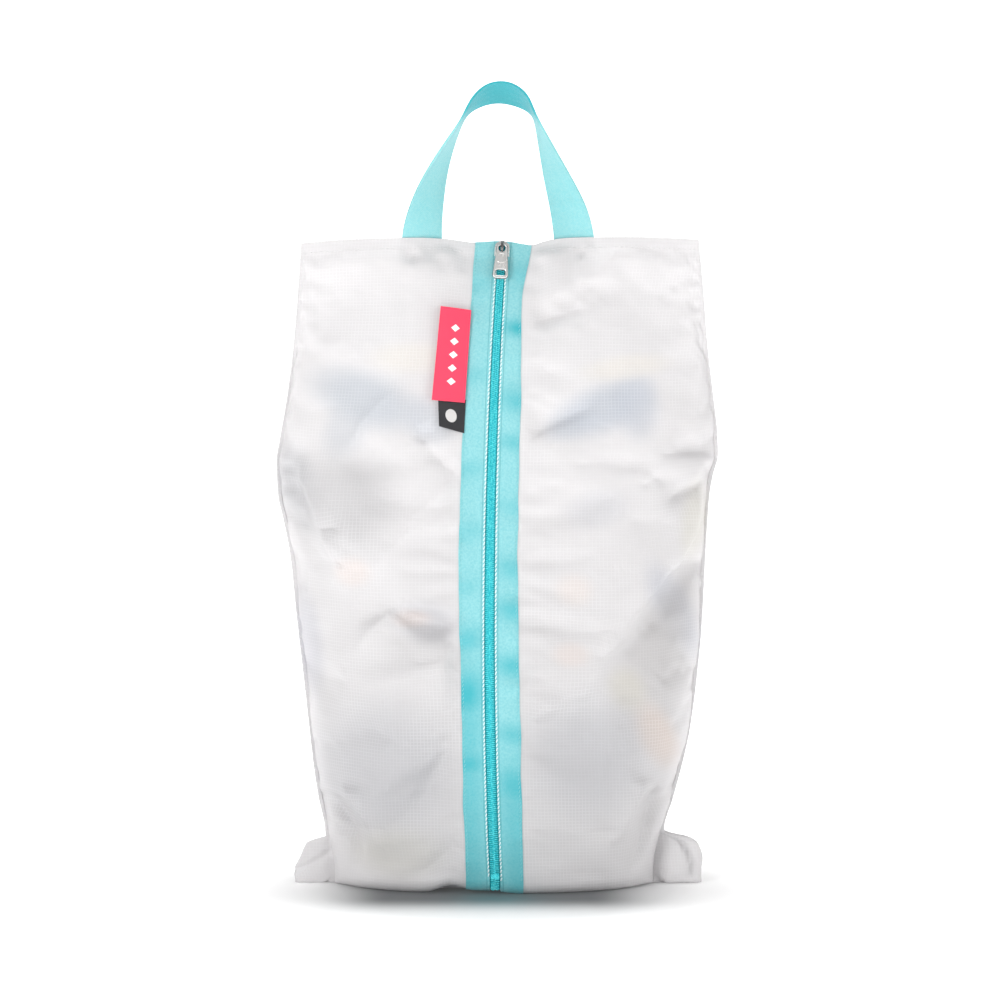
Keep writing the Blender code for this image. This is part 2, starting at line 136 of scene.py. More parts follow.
# the fine grids have twice as many
FINE = 2
CENTRE = FINE * CENTRE_COLUMN


# ---------------------------------------------------------------- small numeric helpers
def ease(low, high, value):
    t = np.clip((np.asarray(value, float) - low) / (high - low), 0.0, 1.0)
    return t * t * (3 - 2 * t)


def through(points, where):
    """A smooth curve through (place, value) points, read at many places."""
    xs, ys = np.array(points, float).T
    secants = np.diff(ys) / np.diff(xs)
    before, after = np.append(secants[0], secants), np.append(secants, secants[-1])
    level = before * after <= 0
    slopes = np.where(level, 0.0, 2 * before * after / np.where(level, 1.0, before + after))
    where = np.clip(np.asarray(where, float), xs[0], xs[-1])
    k = np.clip(np.searchsorted(xs, where) - 1, 0, len(xs) - 2)
    step = xs[k + 1] - xs[k]
    t = (where - xs[k]) / step
    return (
        (2 * t**3 - 3 * t**2 + 1) * ys[k]
        + (t**3 - 2 * t**2 + t) * step * slopes[k]
        + (3 * t**2 - 2 * t**3) * ys[k + 1]
        + (t**3 - t**2) * step * slopes[k + 1]
    )


def unit(v):
    return v / np.maximum(np.linalg.norm(v, axis=-1, keepdims=True), 1e-12)


def distances(points):
    """Distance run along a line of points, or along each row of a grid."""
    steps = np.linalg.norm(np.diff(points, axis=-2), axis=-1)
    return np.insert(np.cumsum(steps, axis=-1), 0, 0.0, axis=-1)


def read(where, run, points):
    """Values along a line of points, read at distances along it."""
    return np.stack([np.interp(where, run, points[:, axis]) for axis in range(3)], axis=-1)


def grid_normals(grid):
    """Normals of a grid of points, from rows that run down and columns that run across."""
    down = np.gradient(grid, axis=0)
    across = np.gradient(grid, axis=1)
    return unit(np.cross(down, across))


def refine(grid, times):
    """A grid with more rows and columns, on a smooth (Catmull-Rom) surface through the same points."""
    for axis in (0, 1):
        grid = np.moveaxis(grid, axis, 0)
        n = len(grid)
        where = np.linspace(0, n - 1, (n - 1) * times + 1)
        k = np.minimum(where.astype(int), n - 2)
        t = (where - k).reshape(-1, *([1] * (grid.ndim - 1)))
        p1, p2 = grid[k], grid[k + 1]
        p0 = np.where((k > 0).reshape(t.shape), grid[np.maximum(k - 1, 0)], 2 * p1 - p2)
        p3 = np.where((k < n - 2).reshape(t.shape), grid[np.minimum(k + 2, n - 1)], 2 * p2 - p1)
        grid = 0.5 * (
            2 * p1 + (p2 - p0) * t + (2 * p0 - 5 * p1 + 4 * p2 - p3) * t**2
            + (3 * p1 - p0 - 3 * p2 + p3) * t**3
        )
        grid = np.moveaxis(grid, 0, axis)
    return grid


def wavy(points, size, seed):
    """Smooth noise from about -1 to 1 at each point, with features of a size in metres."""
    flat = np.asarray(points, float).reshape(-1, 3) / size + seed * 17.3
    values = [noise.noise(Vector(p)) for p in flat]
    return np.array(values).reshape(np.shape(points)[:-1])


# ---------------------------------------------------------------- shape of the bag
ARC_CENTRE = np.array(JOINTS["zip_slider_travel"]["pos_m"])
ARC_AXIS = unit(np.array(JOINTS["zip_slider_travel"]["axis"]))
PIVOT = np.array(JOINTS["puller_flip"]["pos_m"])
PIVOT_OUT = 0.0034         # from the chain's middle out to the pull tab's pin
SPOKE = PIVOT - ARC_CENTRE
SPOKE = SPOKE - ARC_AXIS * (SPOKE @ ARC_AXIS)
ARC_RADIUS = np.linalg.norm(SPOKE) - PIVOT_OUT
ARC_OUT = unit(SPOKE)
ARC_UP = np.cross(ARC_OUT, ARC_AXIS)


def zip_line(z):
    """Points of the zip's centre line at given heights. It is the arc that the slider follows."""
    reach = ARC_RADIUS * math.hypot(ARC_OUT[2], ARC_UP[2])
    lead = math.atan2(ARC_UP[2], ARC_OUT[2])
    swing = np.arccos(np.clip((np.asarray(z, float) - ARC_CENTRE[2]) / reach, -1, 1))
    near, far = lead - swing, lead + swing
    angle = np.where(np.abs(near) < np.abs(far), near, far)[..., None]
    return ARC_CENTRE + ARC_RADIUS * (ARC_OUT * np.cos(angle) + ARC_UP * np.sin(angle))


def outline(hand, z):
    return through(LEFT_OUTLINE if hand < 0 else RIGHT_OUTLINE, z)


def body_edge(x, z):
    """Distance from the middle at which the body's front and back meet, on the side that x is on."""
    left = np.where(z > 0.06, outline(-1, z) - SEAM_FIN, through(LEFT_BODY, z))
    right = np.where(z > 0.06, outline(1, z) - SEAM_FIN, through(RIGHT_BODY, z))
    return np.where(x < 0, left, right)


def ear_place(x, z, hand):
    """How far out along a bottom corner, and how far up it, each point is, from 0 to 1."""
    edge = body_edge(np.full_like(x, hand), z)
    across = np.clip((hand * x - edge) / (outline(hand, z) - edge), 0, 1)
    return across, np.clip(z / EAR_TOP[hand], 0, 1)


def ear_puff(x, z):
    """The bottom corners' cloth stands off where the seam's ends were never pressed flat."""
    total = np.zeros_like(x)
    for hand in (-1, 1):
        across, up = ear_place(x, z, hand)
        shape = np.sqrt(np.maximum(1 - across**2.4, 0)) * np.sqrt(np.maximum(1 - up**3, 0))
        shape = shape * ease(0.0, 0.18, across)
        total = total + np.where(x * hand > 0, PUFF[hand] * shape, 0.0)
    return total


def depth(x, z, side):
    """Distance of the front (side -1) or back (side 1) from the seam plane."""
    full = ease(0.0, 0.42, (TOP - z) / TOP)
    inside = np.minimum(np.abs(x) / body_edge(x, z), 1.0)
    round_off = (1 - inside ** (2.0 + 0.5 * full)) ** (1.0 - 0.46 * full)
    bulge = -zip_line(z)[..., 1] - SEAM_DEPTH
    share = 1.0 if side < 0 else BACK_SHARE
    return SEAM_DEPTH + share * np.maximum(bulge, 0.0) * round_off + ear_puff(x, z)


def base_lift(x):
    """The base's front edge doesn't touch the floor everywhere."""
    return sum(high * np.exp(-(((x - middle) / half) ** 2)) for middle, half, high in BASE_LIFTS)


def base_points(x, part, side):
    """Points round the lower corner (part 0 to 1) and along the base to its seam (part 1 to 2)."""
    deep = depth(x, np.full_like(x, CORNER), side)
    flat = deep <= SEAM_DEPTH + 1e-6
    radius = np.minimum(CORNER, 0.6 * deep)
    turn = min(part, 1.0) * math.pi / 2
    out = deep - radius + radius * math.cos(turn)
    body = body_edge(x, np.full_like(x, CORNER))
    seam = BASE_SEAM_Y * (1 - ease(0.45, 0.85, np.abs(x) / body)) + side * 0.0002
    y = side * out + (seam - side * out) * max(part - 1, 0.0)
    z = np.full_like(x, CORNER * (1 - math.sin(turn)) + CLOTH_THICK)
    y = np.where(flat, side * deep, y)
    z = np.where(flat, CORNER * (1 - part / 2) + CLOTH_THICK, z)
    if side < 0:
        z = z + base_lift(x) * (1 - ease(1.0, 1.6, part))
    return np.stack([x, y, z], axis=-1)


def columns(z, side):
    """x of each column of a row of points, from the left seam edge to the right seam edge."""
    spread = np.sin(math.pi / 2 * np.arange(1, SIDE_COLUMNS + 1) / SIDE_COLUMNS)
    allowance = np.sin(math.pi / 2 * np.arange(1, FIN_COLUMNS + 1) / FIN_COLUMNS)
    xs = []
    middle = float(zip_line(z)[0]) if side < 0 else 0.0
    for hand in (-1, 1):
        strip = middle + hand * np.array(STRIP)
        edge = hand * float(body_edge(hand, z))
        body = strip[-1] + (edge - strip[-1]) * spread
        seam = edge + (hand * float(outline(hand, z)) - edge) * allowance
        xs.append(np.concatenate([strip, body, seam]))
    return np.concatenate([xs[0][::-1], xs[1][1:]])


def row_heights():
    """Heights of the rows above the corner, closer together at the ears."""
    upper = np.linspace(TOP, EAR_ROWS_FROM, MAIN_ROWS + 1)
    return np.concatenate([upper[:-1], np.linspace(EAR_ROWS_FROM, CORNER, EAR_ROWS + 1)])


def coarse_grid(side):
    """The front (side -1) or the back (side 1) as rows of points, from the top edge to the base's seam."""
    heights = row_heights()
    rows = []
    for z in heights:
        x = columns(z, side)
        level = np.full_like(x, z)
        rows.append(np.stack([x, side * depth(x, level, side), level], axis=-1))
    x = columns(CORNER, side)
    rows += [base_points(x, k / CORNER_ROWS, side) for k in range(1, CORNER_ROWS + 1)]
    rows += [base_points(x, 1 + k / BASE_ROWS, side) for k in range(1, BASE_ROWS + 1)]
    grid = np.array(rows)
    if side < 0:
        upright = grid[: len(heights)]
        upright[..., 2] += base_lift(upright[..., 0]) * (1 - ease(CORNER, LIFT_TOP, upright[..., 2]))
    grid[..., 2] += through(TOP_EDGE, grid[..., 0]) * ease(TOP - 0.075, TOP, grid[..., 2])
    return grid


# ---------------------------------------------------------------- cloth simulation
SIM_FRAMES = 22
SLACK = 0.013              # the cloth is this much larger than the filled shape
MOST_MOVED = 0.010
HELD_BELOW = CORNER + 0.004
STILL_BELOW, FREE_ABOVE = 0.015, 0.070  # the cloth near the floor moves less
STILL_SHARE = 0.15
CLOTH_SETTINGS = {
    "quality": 6, "mass": 0.05, "air_damping": 4, "vertex_group_mass": "pins", "shrink_min": -SLACK,
    "tension_stiffness": 30, "compression_stiffness": 30, "shear_stiffness": 12, "bending_stiffness": 2.0,
    "use_pressure": True, "uniform_pressure_force": 0.35,
}


def pin_weights(grid):
    """1 where sewing, the zip, the ribbons or the floor hold the cloth, and 0 between them."""
    column = np.abs(np.arange(COLUMN_COUNT) - CENTRE_COLUMN)
    strip = len(STRIP) - 1
    weights = np.zeros(grid.shape[:2])
    weights[:, column <= strip] = 1.0
    weights[:, column >= strip + SIDE_COLUMNS + 1] = 1.0
    weights[:2] = 1.0
    weights[grid[..., 2] < HELD_BELOW] = 1.0
    return weights


def simulate(grids):
    """Cloth: the sheets are a little too large for the shape, held at their edges, and buckle into folds."""
    mesh = bpy.data.meshes.new("cloth_start")
    points, faces, start = [], [], 0
    for n, grid in enumerate(grids):
        rows, wide = grid.shape[:2]
        points.append(grid.reshape(-1, 3))
        for i in range(rows - 1):
            for j in range(wide - 1):
                a = start + i * wide + j
                quad = (a, a + wide, a + wide + 1, a + 1)
                faces.append(quad if n == 0 else quad[::-1])
        start += rows * wide
    points = np.concatenate(points)
    mesh.from_pydata(points.tolist(), [], faces)
    cloth_object = bpy.data.objects.new("cloth_start", mesh)
    bpy.context.scene.collection.objects.link(cloth_object)
    pins = cloth_object.vertex_groups.new(name="pins")
    weights = np.concatenate([pin_weights(grid).ravel() for grid in grids])
    for index, weight in enumerate(weights):
        pins.add([index], float(weight), "REPLACE")
    cloth = cloth_object.modifiers.new("cloth", "CLOTH")
    for setting, value in CLOTH_SETTINGS.items():
        setattr(cloth.settings, setting, value)
    cloth.settings.effector_weights.gravity = 0.25
    cloth.collision_settings.use_collision = False
    scene = bpy.context.scene
    scene.frame_start, scene.frame_end = 1, SIM_FRAMES
    for number in range(1, SIM_FRAMES + 1):
        scene.frame_set(number)
    evaluated = cloth_object.evaluated_get(bpy.context.evaluated_depsgraph_get())
    moved = np.empty(len(points) * 3)
    evaluated.data.vertices.foreach_get("co", moved)
    moved = moved.reshape(-1, 3)
    scene.frame_set(1)
    bpy.data.objects.remove(cloth_object)
    bpy.data.meshes.remove(mesh)
    shift = moved - points
    far = np.linalg.norm(shift, axis=1, keepdims=True)
    shift *= np.minimum(far, MOST_MOVED) / np.maximum(far, 1e-9)
    shift *= STILL_SHARE + (1 - STILL_SHARE) * ease(STILL_BELOW, FREE_ABOVE, points[:, 2:])
    moved, result, start = points + shift, [], 0
    for grid in grids:
        count = grid.shape[0] * grid.shape[1]
        result.append(moved[start : start + count].reshape(grid.shape))
        start += count
    return result


# ---------------------------------------------------------------- folds and puckers
FOLD_GAIN = 1.9
# folds as (x, z) of both ends, how far they reach to the right and to the left of the way from the first
# end to the second, and how far they stand out before the gain; less than 0 is a hollow
FRONT_FOLDS = [
    ((0.130, 0.256), (0.057, 0.124), 0.030, 0.007, 0.0070),
    ((0.122, 0.235), (0.075, 0.150), 0.010, 0.018, -0.0040),
    ((0.134, 0.258), (0.100, 0.238), 0.004, 0.008, -0.0030),
    ((-0.136, 0.274), (-0.118, 0.228), 0.006, 0.010, -0.0042),
    ((-0.118, 0.262), (-0.093, 0.188), 0.008, 0.014, 0.0042),
    ((-0.063, 0.311), (-0.089, 0.277), 0.002, 0.007, 0.0018),
    ((-0.048, 0.286), (-0.022, 0.252), 0.007, 0.011, -0.0020),
    ((-0.024, 0.256), (-0.080, 0.205), 0.008, 0.020, 0.0028),
    ((0.016, 0.344), (0.063, 0.364), 0.005, 0.012, -0.0024),
    ((0.016, 0.274), (0.063, 0.305), 0.005, 0.014, -0.0026),
    ((-0.022, 0.165), (-0.062, 0.178), 0.005, 0.009, -0.0034),
    ((-0.062, 0.178), (-0.086, 0.150), 0.006, 0.010, 0.0022),
    ((-0.022, 0.148), (-0.080, 0.135), 0.012, 0.016, 0.0034),
    ((0.013, 0.105), (0.062, 0.138), 0.010, 0.020, 0.0028),
    ((0.071, 0.098), (0.059, 0.051), 0.003, 0.004, 0.0013),
    ((-0.101, 0.054), (-0.085, 0.012), 0.004, 0.007, -0.0034),
    ((-0.095, 0.064), (-0.068, 0.028), 0.006, 0.010, 0.0022),
    ((0.099, 0.062), (0.083, 0.014), 0.007, 0.004, -0.0036),
    ((0.090, 0.070), (0.066, 0.030), 0.010, 0.006, 0.0020),
    ((-0.022, 0.100), (-0.062, 0.048), 0.006, 0.016, -0.0024),
    ((-0.022, 0.034), (-0.052, 0.012), 0.009, 0.011, -0.0012),
    ((0.045, 0.397), (0.053, 0.342), 0.006, 0.012, -0.0014),
    ((-0.048, 0.397), (-0.058, 0.338), 0.010, 0.006, -0.0014),
]
BACK_FOLDS = [
    ((-0.128, 0.300), (-0.050, 0.210), 0.009, 0.024, -0.0036),
    ((0.130, 0.270), (0.060, 0.170), 0.028, 0.008, 0.0050),
    ((-0.020, 0.390), (-0.060, 0.300), 0.010, 0.006, -0.0024),
    ((0.030, 0.390), (0.050, 0.290), 0.006, 0.012, -0.0024),
    ((-0.112, 0.130), (-0.030, 0.080), 0.008, 0.022, 0.0038),
    ((0.112, 0.100), (0.040, 0.140), 0.010, 0.016, -0.0028),
    ((-0.100, 0.058), (-0.080, 0.010), 0.005, 0.009, -0.0032),
    ((0.100, 0.058), (0.080, 0.010), 0.009, 0.005, -0.0032),
    ((-0.010, 0.060), (0.040, 0.020), 0.008, 0.010, -0.0020),
]


def fold_height(grid, folds):
    """How far the folds move each point out. A fold is highest near its first end and dies out."""
    x, z = grid[..., 0], grid[..., 2]
    total = np.zeros(x.shape)
    for (x0, z0), (x1, z1), right, left, high in folds:
        dx, dz = x1 - x0, z1 - z0
        length = math.hypot(dx, dz)
        along = ((x - x0) * dx + (z - z0) * dz) / length**2
        aside = ((x - x0) * dz - (z - z0) * dx) / length
        aside = aside + 0.05 * length * np.sin(along * 3.6 + x0 * 60)
        reach = np.where(aside > 0, right, left)
        profile = np.exp(-((np.abs(aside) / reach) ** 1.3))
        total += FOLD_GAIN * high * profile * ease(-0.10, 0.15, along) * (1 - ease(0.60, 1.20, along))
    return total


def edge_fade(grid):
    """0 at the seams and on the floor, 1 inside the panel."""
    x, z = grid[..., 0], grid[..., 2]
    side = ease(0.0, 0.012, body_edge(x, z) - np.abs(x))
    return side * ease(0.004, 0.016, z) * (1 - ease(TOP - 0.010, TOP - 0.003, z))


def sewn_puckers(distance, along, seed, reach, size):
    """Small ripples that a line of sewing draws into the cloth beside it."""
    points = np.stack([np.full_like(along, seed), distance * 0.35, along], axis=-1)
    ripple = wavy(points, size, seed) + 0.5 * wavy(points, size * 0.45, seed + 3)
    return ripple * np.exp(-np.maximum(distance, 0) / reach)


def held_at_seams(across, up, low, high):
    """Fades a crease of a bottom corner out where the seams hold the cloth."""
    ends = ease(0.0, 0.20, across) * (1 - ease(0.93, 1.0, across))
    return ends * ease(low, high, up) * (1 - ease(0.85, 1.0, up))


def rolled_groove(x, z):
    """The line along which the right corner's end is rolled, from 0 to 1."""
    across, up = ear_place(x, z, 1)
    return np.exp(-(((across - 0.80 + 0.30 * up**2) / 0.06) ** 2)) * held_at_seams(across, up, 0.05, 0.25)


def ear_creases(x, z):
    """The right corner ends in a rolled fold. A softer crease crosses the left one."""
    across, up = ear_place(x, z, -1)
    crease = np.exp(-(((up - 0.75 + 0.55 * across) / 0.10) ** 2)) * held_at_seams(across, up, 0.0, 0.15)
    return -0.0034 * rolled_groove(x, z) - 0.0014 * crease


def crumple(grid, side):
    """The cloth's own unevenness: folds, soft waves, and puckers beside the sewing."""
    normals = grid_normals(grid)
    normals *= np.sign(side * normals[grid.shape[0] // 3, CENTRE_COLUMN, 1])
    x, z = grid[..., 0], grid[..., 2]
    fade = edge_fade(grid)
    push = fold_height(grid, FRONT_FOLDS if side < 0 else BACK_FOLDS)
    push = push + 0.0018 * wavy(grid * [1.0, 0.4, 0.7], 0.045, 2 + side)
    push = push + 0.0009 * wavy(grid * [1.0, 0.4, 1.0], 0.017, 7 + side)
    push = push + 0.0011 * sewn_puckers(body_edge(x, z) - np.abs(x), z, 11.0 + side, 0.018, 0.013)
    push = push + 0.0009 * sewn_puckers(TOP - z, x, 15.0 + side, 0.014, 0.014)
    if side < 0:
        away = np.abs(x - zip_line(np.clip(z, CORNER, TOP))[..., 0])
        beside = away - RIBBON_OUT
        hand = np.where(x < 0, 21.0, 27.0)
        pucker = sewn_puckers(np.maximum(beside, 0.0), z + hand, 5.0, 0.016, 0.016)
        push = push * ease(0.0, 0.012, beside) + 0.0014 * pucker * ease(0.0045, 0.0150, away)
    return grid + (push * fade + ear_creases(x, z))[..., None] * normals


# ---------------------------------------------------------------- mesh makers
def sheet(name, grid, normals, uv, thickness, material):
    """A closed sheet of cloth: a layer on each side of a grid of points, joined round the rim.

    The normals of the whole surface are given, so that pieces cut from one surface meet without a line.
    """
    rows, wide = grid.shape[:2]
    count = rows * wide
    index = np.arange(count).reshape(rows, wide)
    quads = np.stack([index[:-1, :-1], index[1:, :-1], index[1:, 1:], index[:-1, 1:]], axis=-1)
    quads = quads.reshape(-1, 4)
    rim = np.concatenate([index[:, 0], index[-1, 1:], index[-2::-1, -1], index[0, -2:0:-1]])
    after = np.roll(rim, -1)
    band = np.stack([rim, rim + count, after + count, after], axis=-1)
    points = np.concatenate([grid + normals * thickness / 2, grid - normals * thickness / 2]).reshape(-1, 3)
    faces = np.concatenate([quads, quads[:, ::-1] + count, band])
    mesh = bpy.data.meshes.new(name)
    mesh.from_pydata(points.tolist(), [], faces.tolist())
    layer = mesh.uv_layers.new(name="weave")
    layer.data.foreach_set("uv", uv.reshape(-1, 2)[faces.ravel() % count].astype(np.float32).ravel())
    flat = normals.reshape(-1, 3)
    edges = points[band]
    outward = unit(np.cross(edges[:, 1] - edges[:, 0], edges[:, 2] - edges[:, 1]))
    split = [flat[quads.ravel()], -flat[quads[:, ::-1].ravel()], np.repeat(outward, 4, axis=0)]
    mesh.shade_smooth()
    mesh.normals_split_custom_set(np.concatenate(split).tolist())
    return add_object(name, mesh, material)


def add_object(name, mesh, material):
    """Shows a mesh in the scene."""
    made = bpy.data.objects.new(name, mesh)
    bpy.context.scene.collection.objects.link(made)
    mesh.materials.append(material)
    return made


def declare(made, slot, body, *nodes):
    """Says which solid nodes a piece shows, and which body it rides on. slot, what it is made of, is not
    used.
    """
    if nodes:
        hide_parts(*nodes)
    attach(made, body)


def write_colours(made, name, colours):
    """Stores a colour at each point of a mesh, for its material."""
    layer = made.data.color_attributes.new(name=name, type="FLOAT_COLOR", domain="POINT")
    packed = np.concatenate([colours, np.ones((len(colours), 1))], axis=1)
    layer.data.foreach_set("color", packed.astype(np.float32).ravel())


def paint(made, name, values):
    """Writes one value for each point of a sheet's grid into both of its layers."""
    shade = np.repeat(np.clip(values, 0, 1).reshape(-1, 1), 3, axis=1)
    write_colours(made, name, np.concatenate([shade, shade]))


def weave_coordinates(grid, centre):
    """Distances along the cloth, across from a column and down from the top, as (u, v)."""
    u = distances(grid)
    u -= u[:, centre : centre + 1]
    v = distances(grid[:, centre])
    return np.stack([u, np.repeat(v[:, None], grid.shape[1], axis=1)], axis=-1)


TUBE_SIDES = 6


def tube_points(path, radius, reference):
    """Rings of points round a path."""
    along = unit(np.gradient(path, axis=0))
    first = unit(np.cross(along, reference))
    second = np.cross(along, first)
    turn = 2 * math.pi * np.arange(TUBE_SIDES) / TUBE_SIDES
    ring = first[:, None] * np.cos(turn)[None, :, None] + second[:, None] * np.sin(turn)[None, :, None]
    return path[:, None] + ring * radius


def tubes_object(name, paths, radius, references, material):
    """Many closed tubes in one mesh."""
    points, faces, start = [], [], 0
    for path, reference in zip(paths, references):
        rings = tube_points(path, radius, reference)
        points.append(rings.reshape(-1, 3))
        index = start + np.arange(len(rings) * TUBE_SIDES).reshape(-1, TUBE_SIDES)
        after = np.roll(index, -1, axis=1)
        quads = np.stack([index[:-1], after[:-1], after[1:], index[1:]], axis=-1)
        faces += quads.reshape(-1, 4).tolist()
        faces += [index[0, ::-1].tolist(), index[-1].tolist()]
        start += index.size
    mesh = bpy.data.meshes.new(name)
    mesh.from_pydata(np.concatenate(points).tolist(), [], faces)
    mesh.shade_smooth()
    return add_object(name, mesh, material)


# ---------------------------------------------------------------- materials
class Number:
    """A number that a material works out. Arithmetic with it adds nodes."""

    def __init__(self, nodes, socket):
        self.nodes, self.socket = nodes, socket

    def __add__(self, other):
        return self.nodes.maths("ADD", self, other)

    def __sub__(self, other):
        return self.nodes.maths("SUBTRACT", self, other)

    def __rsub__(self, other):
        return self.nodes.maths("SUBTRACT", other, self)

    def __mul__(self, other):
        return self.nodes.maths("MULTIPLY", self, other)

    def __truediv__(self, other):
        return self.nodes.maths("DIVIDE", self, other)

    def __lt__(self, other):
        return self.nodes.maths("LESS_THAN", self, other)

    def __gt__(self, other):
        return self.nodes.maths("GREATER_THAN", self, other)

    def __abs__(self):
        return self.nodes.maths("ABSOLUTE", self)


class Nodes:
    """A material with a Principled shader, and short ways to add nodes to it."""

    def __init__(self, name, **inputs):
        self.material = bpy.data.materials.new(name)
        self.material.use_nodes = True
        self.tree = self.material.node_tree
        self.shader = self.tree.nodes["Principled BSDF"]
        for key, value in inputs.items():
            self.feed(self.shader.inputs[key.replace("_", " ")], value)

    def feed(self, socket, value):
        if isinstance(value, Number):
            value = value.socket
        if isinstance(value, bpy.types.NodeSocket):
            self.tree.links.new(value, socket)
        else:
            socket.default_value = value

    def add(self, kind, settings=None, **inputs):
        """Adds a node. Its inputs are given by name, or by place after an i."""
        node = self.tree.nodes.new(kind)
        for key, value in (settings or {}).items():
            setattr(node, key, value)
        for key, value in inputs.items():
            self.feed(node.inputs[int(key[1:])] if key[1:].isdigit() else node.inputs[key], value)
        return node

    def maths(self, operation, a, b=0.0, c=0.0):
        return Number(self, self.add("ShaderNodeMath", {"operation": operation}, i0=a, i1=b, i2=c).outputs[0])

    def place(self):
        return self.add("ShaderNodeTexCoord").outputs["Object"]

    def parts(self, vector):
        separate = self.add("ShaderNodeSeparateXYZ", i0=vector)
        return [Number(self, output) for output in separate.outputs]

    def uv(self):
        return self.parts(self.add("ShaderNodeUVMap", {"uv_map": "weave"}).outputs[0])[:2]

    def painted(self, name, output="Fac"):
        return self.add("ShaderNodeAttribute", {"attribute_name": name}).outputs[output]

    def noise(self, scale, detail=3.0):
        node = self.add("ShaderNodeTexNoise", Scale=scale, Detail=detail, Roughness=0.5, Vector=self.place())
        return Number(self, node.outputs["Fac"])

    def ramp(self, value, start, end, kind="LINEAR"):
        """Goes between two levels as a value goes between two limits. start, end: a limit and its level."""
        node = self.add(
            "ShaderNodeMapRange", {"interpolation_type": kind}, Value=value,
            i1=start[0], i2=end[0], i3=start[1], i4=end[1],
        )
        return Number(self, node.outputs[0])

    def mix(self, factor, a, b):
        return self.add("ShaderNodeMix", {"data_type": "RGBA"}, Factor=factor, i6=a, i7=b).outputs[2]

    def ridge(self, value, pitch, thin):
        """1 on thin lines at every pitch along a value, and 0 between them."""
        off = abs(self.maths("FRACT", value / pitch) - 0.5)
        return self.ramp(off, (0.5 - 1.5 * thin, 0.0), (0.5 - 0.4 * thin, 1.0), "SMOOTHSTEP")

    def wave(self, value, pitch):
        """A sine between 0 and 1 along a value."""
        return self.maths("MULTIPLY_ADD", self.maths("SINE", value * (2 * math.pi / pitch)), 0.5, 0.5)

    def bump(self, height, strength, distance):
        node = self.add("ShaderNodeBump", Strength=strength, Distance=distance, Height=height)
        self.feed(self.shader.inputs["Normal"], node.outputs[0])

    def colour(self, value):
        self.feed(self.shader.inputs["Base Color"], value)


def rgb(*values):
    return (*values, 1.0)


def darker(colour, share):
    return rgb(*[share * c for c in colour])


RIPSTOP_PITCH = 0.0021
RIPSTOP_THREAD = 0.00035
RIBBON_LIGHT, RIBBON_DARK = (0.31, 0.66, 0.69), (0.02, 0.43, 0.50)
GROOVE = 0.0050            # a fine line that the zip tape's edge presses into each ribbon, drawn as a dent with painted shade along it
SOFT_SHEEN = {"Sheen_Weight": 0.25, "Sheen_Roughness": 0.35}


def ripstop_material():
    """Thin white nylon with a raised square grid of thicker threads, tinted by what is inside and by painted
    shade.
    """
    m = Nodes("ripstop", Roughness=0.50, Sheen_Weight=0.12, Sheen_Roughness=0.4, Specular_IOR_Level=0.35)
    u, v = m.uv()
    line = m.maths("MAXIMUM", m.ridge(u, RIPSTOP_PITCH, 0.11), m.ridge(v, RIPSTOP_PITCH, 0.11))
    fine = m.wave(u, RIPSTOP_THREAD) * m.wave(v, RIPSTOP_THREAD)
    # the 'inside' colour holds what shows through and painted shade
    base = m.mix(m.noise(14.0) * 0.22, m.painted("inside", "Color"), rgb(0.58, 0.57, 0.58))
    seen = m.ramp(m.noise(18.0, 2.0), (0.38, 0.07), (0.62, 0.20))
    m.colour(m.mix(line * seen, base, rgb(0.80, 0.80, 0.81)))
    m.bump(line + fine * 0.25 + m.noise(90.0, 4.0) * 1.2, 0.20, 0.0003)
    return m.material


def grosgrain_material():
    """Ribbon with ribs across it, painted lighter on its waves and with painted shade in its hollows."""
    m = Nodes("ribbon", Roughness=0.62, **SOFT_SHEEN)
    u, v = m.uv()
    ribs = m.wave(v, 0.00055)
    warp = m.wave(u, 0.0004)
    # painted shade in the ribbon's hollows
    base = m.mix(m.painted("hollow"), rgb(*RIBBON_LIGHT), rgb(*RIBBON_DARK))
    base = m.mix(m.ramp(m.noise(800.0, 2.0), (0.35, 0.05), (0.70, 0.35)), base, rgb(*RIBBON_DARK))
    # painted shade along the pressed line
    groove = m.ramp(abs(abs(u) - GROOVE), (0.0001, 0.50), (0.0004, 0.0))
    m.colour(m.mix(groove, base, darker(RIBBON_DARK, 0.7)))
    m.bump(ribs + warp * 0.4 - groove, 0.6, 0.00022)
    return m.material


def webbing_material():
    """Herringbone webbing: diagonal ribs that change direction in narrow columns, with painted shade on the
    crown's inner face.
    """
    m = Nodes("webbing", Roughness=0.60, **SOFT_SHEEN)
    u, v = m.uv()
    twill = m.wave(v + m.maths("PINGPONG", u, 0.0032), 0.00105)
    base = m.mix(m.noise(38.0) * 0.50, rgb(0.37, 0.66, 0.67), rgb(0.19, 0.57, 0.60))
    # painted shade where the crown shows its inner face
    base = m.mix(m.painted("crown"), base, rgb(0.005, 0.34, 0.39))
    speck = m.ramp(m.noise(800.0, 2.0), (0.35, 0.0), (0.70, 0.25))
    m.colour(m.mix(speck + (1.0 - twill) * 0.26, base, rgb(0.06, 0.50, 0.56)))
    m.bump(twill + m.wave(u, 0.00062) * 0.35, 0.55, 0.00022)
    return m.material


def tape_material():
    m = Nodes("zip_tape", Roughness=0.70)
    u, v = m.uv()
    weave = m.wave(u, 0.00055) * m.wave(v, 0.00055)
    m.colour(m.mix(weave * 0.5, rgb(0.01, 0.42, 0.50), rgb(0.04, 0.60, 0.67)))
    m.bump(weave, 0.5, 0.0002)
    return m.material


def coil_material():
    m = Nodes("zip_coil", Roughness=0.42, Specular_IOR_Level=0.6)
    speck = m.ramp(m.noise(900.0, 2.0), (0.38, 0.0), (0.62, 1.0))
    m.colour(m.mix(speck, rgb(0.0, 0.60, 0.70), rgb(0.14, 0.92, 0.96)))
    return m.material


